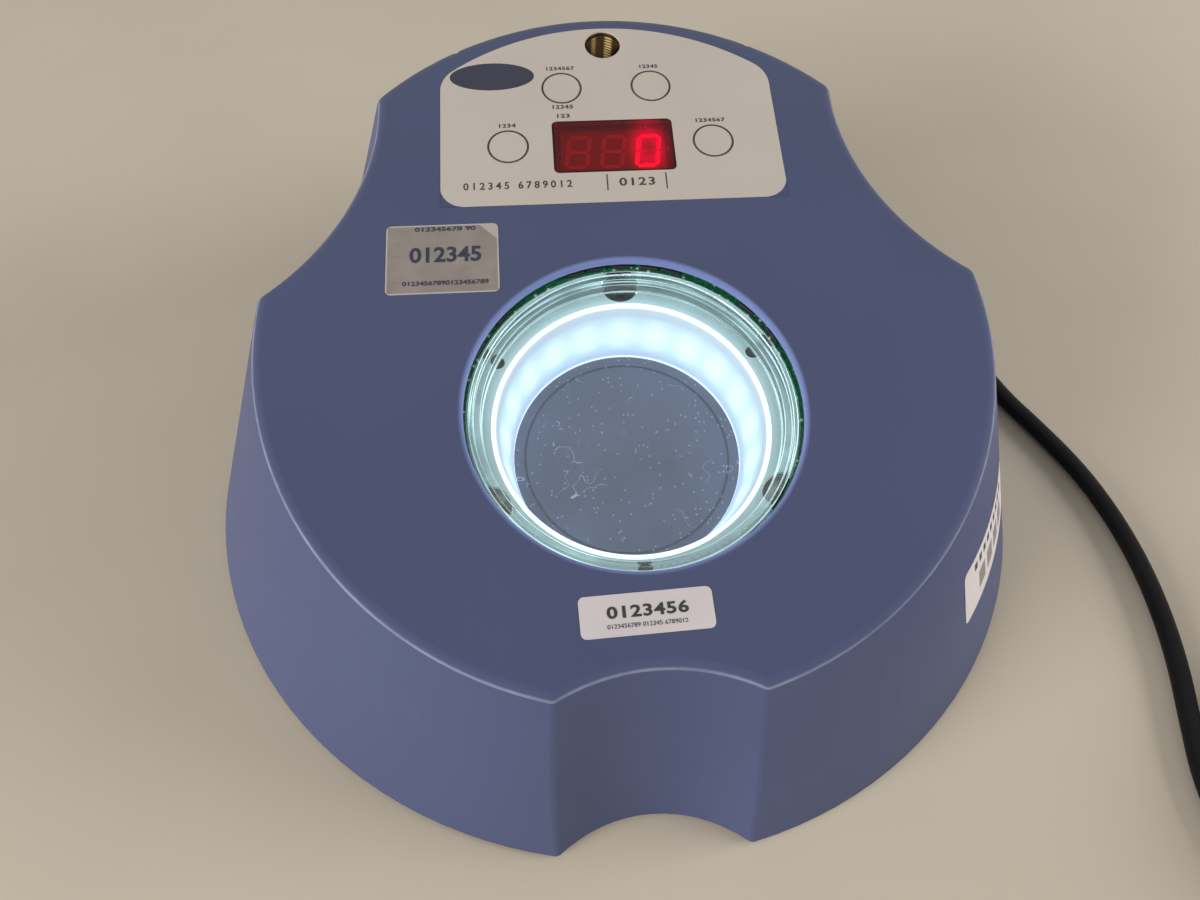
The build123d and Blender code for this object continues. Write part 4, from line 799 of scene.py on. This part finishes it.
def spin_profile(bm, places, sweep, steps, first_angle=0.0, climb=0.0, closed=False):
    """Joins places in a ring and spins it about the z axis, climbing a little at each step."""
    corners = [bm.verts.new(place) for place in places]
    edges = [bm.edges.new((corners[index - 1], corners[index])) for index in range(len(corners))]
    if first_angle:
        turn = Matrix.Rotation(first_angle, 3, "Z")
        bmesh.ops.rotate(bm, verts=corners, cent=(0, 0, 0), matrix=turn)
    bmesh.ops.spin(
        bm, geom=corners + edges, cent=(0, 0, 0), axis=(0, 0, 1), dvec=(0, 0, climb), angle=sweep,
        steps=steps, use_merge=closed,
    )


def close_ends(bm, sides):
    """Fills the open ends of a spun profile."""
    open_edges = [edge for edge in bm.edges if edge.is_boundary]
    return bmesh.ops.holes_fill(bm, edges=open_edges, sides=sides)["faces"]


def flat_ring(bm, centre, outer, width, height, segments=72):
    """Thin raised ring on the plane z = 0 of its own frame."""
    start = len(bm.verts)
    inner = outer - width
    profile = [(inner, 0, 0), (outer, 0, 0), (outer, 0, height), (inner, 0, height)]
    spin_profile(bm, profile, 2 * pi, segments, closed=True)
    bm.verts.ensure_lookup_table()
    bmesh.ops.translate(bm, verts=bm.verts[start:], vec=(*centre, 0))


def rounded_plate(width, length, corner, height):
    """Thin plate with round corners, centred on the plane z = 0 of its own frame."""
    bm = bmesh.new()
    bmesh.ops.create_grid(bm, x_segments=1, y_segments=1, size=0.5)
    bmesh.ops.scale(bm, verts=bm.verts, vec=(width, length, 1))
    bmesh.ops.bevel(
        bm, geom=bm.verts[:], offset=corner, segments=6, profile=0.5, affect="VERTICES", material=-1
    )
    raised(bm, bm.faces[:], height)
    return bm


def wall_patch(first_angle, last_angle, low, high, lift, corner=0.0):
    """Thin patch on the right lobe's slanted wall, between two angles in degrees and two heights."""
    bm = bmesh.new()
    profile = [
        ((LOBE_RADIUS - LOBE_TAPER * (level - BASE_EDGE)) * MM + rise, 0, level * MM)
        for level, rise in ((low, 0), (low, lift), (high, lift), (high, 0))
    ]
    sweep = last_angle - first_angle
    spin_profile(bm, profile, radians(sweep), max(1, round(sweep)), radians(first_angle))
    ends = close_ends(bm, 4)
    if corner:
        short = {edge for face in ends for edge in face.edges if edge.calc_length() < 2 * lift}
        bmesh.ops.bevel(
            bm, geom=list(short), offset=corner, segments=4, profile=0.5, affect="EDGES", material=-1
        )
    bmesh.ops.translate(bm, verts=bm.verts, vec=(0, LOBE_AXIS_Y * MM, 0))
    return bm


def on_deck(bm, lift):
    """Moves a bmesh from its own plane onto the deck's, at a height along the normal."""
    bmesh.ops.transform(bm, matrix=DECK @ Matrix.Translation((0, 0, lift)), verts=bm.verts)


def text_mesh(text, width, cap_height, height, weight=0.0, gap=1.0):
    """Bmesh of plain characters of a given width and height, centred on the plane z = 0."""
    curve = bpy.data.curves.new("characters", "FONT")
    curve.body = text
    curve.extrude = 0.5
    curve.offset = weight
    curve.space_character = gap
    curve.resolution_u = 3
    holder = new_object("characters", curve)
    bpy.context.view_layer.update()
    mesh = bpy.data.meshes.new_from_object(holder.evaluated_get(bpy.context.evaluated_depsgraph_get()))
    bm = bmesh.new()
    bm.from_mesh(mesh)
    bpy.data.objects.remove(holder)
    bpy.data.meshes.remove(mesh)
    low, high = [
        Vector(limit(vert.co[axis] for vert in bm.verts) for axis in range(3)) for limit in (min, max)
    ]
    span = high - low
    bmesh.ops.translate(bm, verts=bm.verts, vec=-(low + high) / 2)
    bmesh.ops.scale(bm, verts=bm.verts, vec=(width / span.x, cap_height / span.y, height / span.z))
    bmesh.ops.translate(bm, verts=bm.verts, vec=(0, 0, height / 2))
    return bm


def put(bm, part, across, along, turn=0.0):
    """Turns a part in its plane, moves it to its place in millimetres and adds it to a bmesh."""
    bmesh.ops.rotate(part, verts=part.verts, cent=(0, 0, 0), matrix=Matrix.Rotation(turn, 3, "Z"))
    bmesh.ops.translate(part, verts=part.verts, vec=(across * MM, along * MM, 0))
    merge_into(bm, part)


def merge_into(bm, other):
    """Adds another bmesh to this one and frees it."""
    mesh = mesh_of("merge", other)
    bm.from_mesh(mesh)
    bpy.data.meshes.remove(mesh)


# ---- operators
class Dressing:
    """Gives a group of CAD nodes their finishes"""

    nodes = ()

    def execute(self, context):
        dress(*self.nodes)
        return {"FINISHED"}


class COUNTER_OT_stage(bpy.types.Operator):
    """Camera, table, room and lamps"""

    bl_idname = "counter.stage"
    bl_label = "Stage"

    def execute(self, context):
        context.scene.view_settings.view_transform = "Standard"
        self.add_camera(context)
        self.add_table()
        self.light_room(context)
        return {"FINISHED"}

    def add_camera(self, context):
        data = bpy.data.cameras.new("view")
        data.lens = 28.5
        data.sensor_width = 36.0
        camera = new_object("view", data)
        right = Vector((0.99713, -0.07341, 0.01867))
        up = Vector((0.04899, 0.81293, 0.5803))
        back = Vector((-0.05778, -0.57772, 0.81419))
        turn = Matrix((right, up, back)).transposed()
        camera.matrix_world = Matrix.Translation((-0.02912, -0.2316, 0.32494)) @ turn.to_4x4()
        context.scene.camera = camera

    def add_table(self):
        colour = tuple(colours().table)
        material, shader = new_finish("table_top", colour, 0.55)
        place = object_place(material)
        cloud = noise(material, place, 9.0, 5.0)
        set_colour(material, shader, shades(material, cloud, colour, 0.97, 1.03))
        bm = bmesh.new()
        bmesh.ops.create_grid(bm, x_segments=8, y_segments=8, size=3.0)
        table = new_object("table", mesh_of("table", bm))
        table.data.materials.append(material)

    def light_room(self, context):
        world = bpy.data.worlds.new("room")
        context.scene.world = world
        world.use_nodes = True
        world.node_tree.nodes.clear()
        rays = add_node(world, "LightPath").outputs
        direct = maths(world, "MAXIMUM", rays["Is Camera Ray"], rays["Is Glossy Ray"])
        seen = maths(world, "MAXIMUM", direct, rays["Is Transmission Ray"])
        soft = add_node(world, "Background", {"Color": ROOM_LIGHT, "Strength": ROOM_LEVEL})
        pale = add_node(world, "Background", {"Color": ROOM_WALLS, "Strength": 1.0})
        mix = add_node(world, "MixShader", {0: seen, 1: soft.outputs[0], 2: pale.outputs[0]})
        add_node(world, "OutputWorld", {"Surface": mix.outputs[0]})
        for lamp in LAMPS:
            self.add_lamp(*lamp)

    def add_lamp(self, name, place, size, power):
        data = bpy.data.lights.new(name, "AREA")
        data.shape = "SQUARE"
        data.size = size
        data.energy = power
        lamp = new_object(name, data)
        lamp.location = place
        lamp.rotation_euler = (-Vector(place)).to_track_quat("-Z", "Y").to_euler()
        lamp.visible_glossy = False


class COUNTER_OT_cord(bpy.types.Operator):
    """Mains cord with its connector, coil and plug"""

    bl_idname = "counter.cord"
    bl_label = "Mains cord"

    def coil_points(self):
        """Turns of the coil: each passes to the next place a step before the one under it did."""
        points = []
        step = 360.0 / COIL_POINTS_PER_TURN
        swell = 1 / cos(pi / COIL_POINTS_PER_TURN)
        outer, inner = COIL_RADII
        low, middle, high = COIL_LEVELS
        moves = [(300, outer, inner, low, low), (600, inner, inner, low, middle),
                 (900, inner, outer, middle, middle), (1200, outer, outer, middle, high)]
        count = int((COIL_END + 90.0) / step)
        for index in range(count + 1):
            swept = index * step
            radius, level = outer, low
            for start, radius_from, radius_to, level_from, level_to in moves:
                share = min(1.0, max(0.0, (swept - start) / 60.0))
                if swept > start:
                    radius = radius_from + (radius_to - radius_from) * share
                    level = level_from + (level_to - level_from) * share
            angle = radians(COIL_START + swept)
            across, along = swell * radius * cos(angle), swell * radius * sin(angle)
            points.append((COIL_CENTRE[0] + across, COIL_CENTRE[1] + along, level))
        return points

    def execute(self, context):
        dress("mains_connector", "mains_plug", "plug_pins")
        curve = bpy.data.curves.new("mains_cord", "CURVE")
        curve.dimensions = "3D"
        curve.bevel_depth = sizes().cord_diameter / 2
        curve.bevel_resolution = 6
        curve.resolution_u = 10
        curve.use_fill_caps = True
        route = [CORD_START, *CORD_ROUTE, *self.coil_points(), *CORD_TAIL]
        spline = curve.splines.new("NURBS")
        spline.points.add(len(route) - 1)
        for point, place in zip(spline.points, route):
            point.co = (*(Vector(place) * MM), 1)
        spline.order_u = 3
        spline.use_endpoint_u = True
        curve.materials.append(finish("cord_black"))
        cord = new_object("mains_cord", curve)
        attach(cord, "housing")
        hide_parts("cord_tube", "cord_coil", "cord_tail")
        return {"FINISHED"}


class COUNTER_OT_housing(Dressing, bpy.types.Operator):
    """Finishes of the housing, base and feet"""

    bl_idname = "counter.housing"
    bl_label = "Housing"

    nodes = ("upper_shell", "base_plate", "feet", "base_screws")


class COUNTER_OT_panel(bpy.types.Operator):
    """Panel film with its print, keys, window and digits"""

    bl_idname = "counter.panel"
    bl_label = "Panel"

    def execute(self, context):
        dress(
            "panel_overlay", "key_1", "key_2", "key_3", "key_4", "display_window", "display_module",
            "lit_segments", "dark_segments", "control_board", "control_screws", "key_switches",
            "control_chips", "buzzer",
        )
        self.print_key_rings()
        self.print_oval()
        self.print_captions()
        self.print_title()
        return {"FINISHED"}

    def print_key_rings(self):
        for number, place in enumerate(KEY_PLACES, 1):
            bm = bmesh.new()
            centre = (place[0] * MM, place[1] * MM)
            flat_ring(bm, centre, KEY_RING_RADIUS * MM, sizes().key_ring_width, PRINT_LIFT)
            on_deck(bm, PRINT_LEVEL)
            add_piece(f"key_ring_{number}", bm, "ink", f"key_{number}")

    def print_oval(self):
        bm = bmesh.new()
        bmesh.ops.create_circle(bm, cap_ends=True, segments=72, radius=1.0)
        bmesh.ops.scale(bm, verts=bm.verts, vec=(OVAL_RADII[0] * MM, OVAL_RADII[1] * MM, 1))
        raised(bm, bm.faces[:], PRINT_LIFT)
        bmesh.ops.translate(bm, verts=bm.verts, vec=(OVAL_PLACE[0] * MM, OVAL_PLACE[1] * MM, 0))
        on_deck(bm, PRINT_LEVEL)
        add_piece("printed_oval", bm, "ink_blue")

    def print_captions(self):
        """Small plain digits over and under the keys."""
        over, under = 9.5, -8.9
        captions = (
            (KEY_PLACES[0], over, "1234567", 10.4), (KEY_PLACES[0], under, "12345", 7.5),
            (KEY_PLACES[0], under - 4.2, "123", 4.6), (KEY_PLACES[1], over, "12345", 6.8),
            (KEY_PLACES[2], over, "1234", 6.0), (KEY_PLACES[3], over, "1234567", 10.8),
        )
        bm = bmesh.new()
        for (across, along), rise, text, width in captions:
            letters = text_mesh(text, width * MM, 1.8 * MM, PRINT_LIFT, weight=0.035, gap=1.15)
            put(bm, letters, across, along + rise)
        on_deck(bm, PRINT_LEVEL)
        add_piece("printed_captions", bm, "ink")

    def print_title(self):
        """Wide-spaced digits along the panel's front edge, and more between two bars."""
        bm = bmesh.new()
        title = text_mesh("012345 6789012", 38.0 * MM, 3.2 * MM, PRINT_LIFT, weight=0.02, gap=1.5)
        put(bm, title, -34.0, TITLE_ROW)
        put(bm, text_mesh("0123", 12.6 * MM, 3.5 * MM, PRINT_LIFT, weight=0.02, gap=1.2), 7.9, TITLE_ROW)
        for across in (-2.6, 18.3):
            put(bm, rounded_plate(0.45 * MM, 7.0 * MM, 0.1 * MM, PRINT_LIFT), across, TITLE_ROW)
        on_deck(bm, PRINT_LEVEL)
        add_piece("printed_title", bm, "ink")


class COUNTER_OT_labels(bpy.types.Operator):
    """Stuck-on labels on the deck and the right wall"""

    bl_idname = "counter.labels"
    bl_label = "Labels"

    def execute(self, context):
        self.add_foil_label()
        self.add_front_label()
        self.add_wall_label()
        return {"FINISHED"}

    def add_foil_label(self):
        across, along = FOIL_CENTRE
        width, length = FOIL_SIZE
        bm = bmesh.new()
        put(bm, rounded_plate(width * MM, length * MM, 1.8 * MM, sizes().label_thickness), across, along)
        on_deck(bm, 0.0)
        add_piece("foil_label", bm, "label_foil")
        bm = bmesh.new()
        rows = (
            ("012345", 24.0, 6.2, 1.6), ("012345678 90", 20.6, 1.8, 12.0),
            ("01234567890123456789", 28.6, 1.8, -9.6),
        )
        for text, text_width, cap_height, rise in rows:
            letters = text_mesh(text, text_width * MM, cap_height * MM, PRINT_LIFT, weight=0.025)
            put(bm, letters, across + 1.0, along + rise)
        on_deck(bm, sizes().label_thickness)
        add_piece("foil_label_print", bm, "ink_blue")

    def add_front_label(self):
        across, along, turn = -2.1, -66.9, radians(2.0)
        bm = bmesh.new()
        put(bm, rounded_plate(39.2 * MM, 12.4 * MM, 1.8 * MM, sizes().label_thickness), across, along, turn)
        on_deck(bm, 0.0)
        add_piece("front_label", bm, "label_paper")
        bm = bmesh.new()
        bold = text_mesh("0123456", 23.9 * MM, 3.7 * MM, PRINT_LIFT, weight=0.03, gap=1.1)
        put(bm, bold, across + 0.3, along + 0.9, turn)
        small = text_mesh("0123456789 012345 6789012", 23.4 * MM, 1.3 * MM, PRINT_LIFT)
        put(bm, small, across, along - 3.2, turn)
        on_deck(bm, sizes().label_thickness)
        add_piece("front_label_print", bm, "ink")

    def add_wall_label(self):
        """White label on the right lobe with a row of plain marks and four grey blocks."""
        thick = sizes().label_thickness
        label = wall_patch(-41.0, -19.0, 30.5, 54.3, thick, 2.0 * MM)
        add_piece("wall_label", label, "label_paper")
        blocks, marks = bmesh.new(), bmesh.new()
        for number in range(4):
            start = -36.0 + 3.6 * number
            merge_into(blocks, wall_patch(start, start + 2.5, 36.0, 44.0, thick + PRINT_LIFT))
        for number in range(9):
            start = -37.5 + 1.8 * number
            merge_into(marks, wall_patch(start, start + 0.9, 48.4, 51.4, thick + PRINT_LIFT))
        add_piece("wall_label_blocks", blocks, "label_grey")
        add_piece("wall_label_marks", marks, "ink")


class COUNTER_OT_well(Dressing, bpy.types.Operator):
    """Dish carrier, lamp, boards and the disc under them"""

    bl_idname = "counter.well"
    bl_label = "Lit well"

    nodes = (
        "dish_carrier", "stage_plungers", "touch_sensors", "support_ring", "support_screws", "diffuser",
        "background_disc", "lamp_housing", "lamp_screws", "light_strip", "light_emitters", "ring_board",
        "ring_board_parts", "ring_board_screws", "ring_board_socket", "ribbon_cable",
    )


class COUNTER_OT_bush(bpy.types.Operator):
    """Threaded bush for the magnifier's arm"""

    bl_idname = "counter.bush"
    bl_label = "Bush"

    def execute(self, context):
        dress("magnifier_bush", "bush_nut")
        self.cut_thread()
        return {"FINISHED"}

    def cut_thread(self):
        """Helical ridge on the wall of the bush's bore."""
        bore, depth, pitch, top = 6.42 * MM, 0.66 * MM, 1.25 * MM, -1.2 * MM
        turns, steps_per_turn = 12, 36
        bm = bmesh.new()
        crest = (bore - depth, 0, top - pitch / 2)
        profile = [(bore, 0, top), (bore, 0, top - pitch), crest]
        steps = steps_per_turn * turns
        spin_profile(bm, profile, 2 * pi * turns, steps, climb=-pitch / steps_per_turn)
        close_ends(bm, 3)
        bmesh.ops.translate(bm, verts=bm.verts, vec=(0, BUSH_Y * MM, 0))
        on_deck(bm, 0.0)
        add_piece("bush_thread", bm, "brass")


class COUNTER_OT_rear(Dressing, bpy.types.Operator):
    """Rear panel with its inlet, switch and socket"""

    bl_idname = "counter.rear"
    bl_label = "Rear panel"

    nodes = (
        "rear_panel", "rear_screws", "mains_inlet", "inlet_blades", "switch_frame", "power_rocker",
        "serial_socket", "serial_posts",
    )


class COUNTER_OT_supply(Dressing, bpy.types.Operator):
    """Power supply inside the housing"""

    bl_idname = "counter.supply"
    bl_label = "Power supply"

    nodes = (
        "supply_board", "supply_screws", "transformer_winding", "transformer_core", "capacitors",
        "heat_sink", "supply_terminals", "mains_leads", "supply_lead",
    )


class COUNTER_PT_panel(bpy.types.Panel):
    bl_idname = "COUNTER_PT_panel"
    bl_label = "Colony counter"
    bl_space_type = "VIEW_3D"
    bl_region_type = "UI"
    bl_category = "Counter"

    def draw(self, context):
        for group in (context.scene.counter_colours, context.scene.counter_sizes):
            for name in group.bl_rna.properties.keys():
                if name not in ("rna_type", "name"):
                    self.layout.prop(group, name)
        for operator in OPERATORS:
            self.layout.operator(operator.bl_idname)


OPERATORS = (
    COUNTER_OT_stage, COUNTER_OT_cord, COUNTER_OT_housing, COUNTER_OT_panel, COUNTER_OT_labels,
    COUNTER_OT_well, COUNTER_OT_bush, COUNTER_OT_rear, COUNTER_OT_supply,
)
CLASSES = (CounterColours, CounterSizes, *OPERATORS, COUNTER_PT_panel)


def register():
    for cls in CLASSES:
        bpy.utils.register_class(cls)
    bpy.types.Scene.counter_colours = bpy.props.PointerProperty(type=CounterColours)
    bpy.types.Scene.counter_sizes = bpy.props.PointerProperty(type=CounterSizes)


def unregister():
    del bpy.types.Scene.counter_sizes
    del bpy.types.Scene.counter_colours
    for cls in reversed(CLASSES):
        bpy.utils.unregister_class(cls)


def main():
    register()
    bpy.ops.counter.stage()
    bpy.ops.counter.cord()
    bpy.ops.counter.housing()
    bpy.ops.counter.panel()
    bpy.ops.counter.labels()
    bpy.ops.counter.well()
    bpy.ops.counter.bush()
    bpy.ops.counter.rear()
    bpy.ops.counter.supply()


if __name__ == "__main__":
    main()
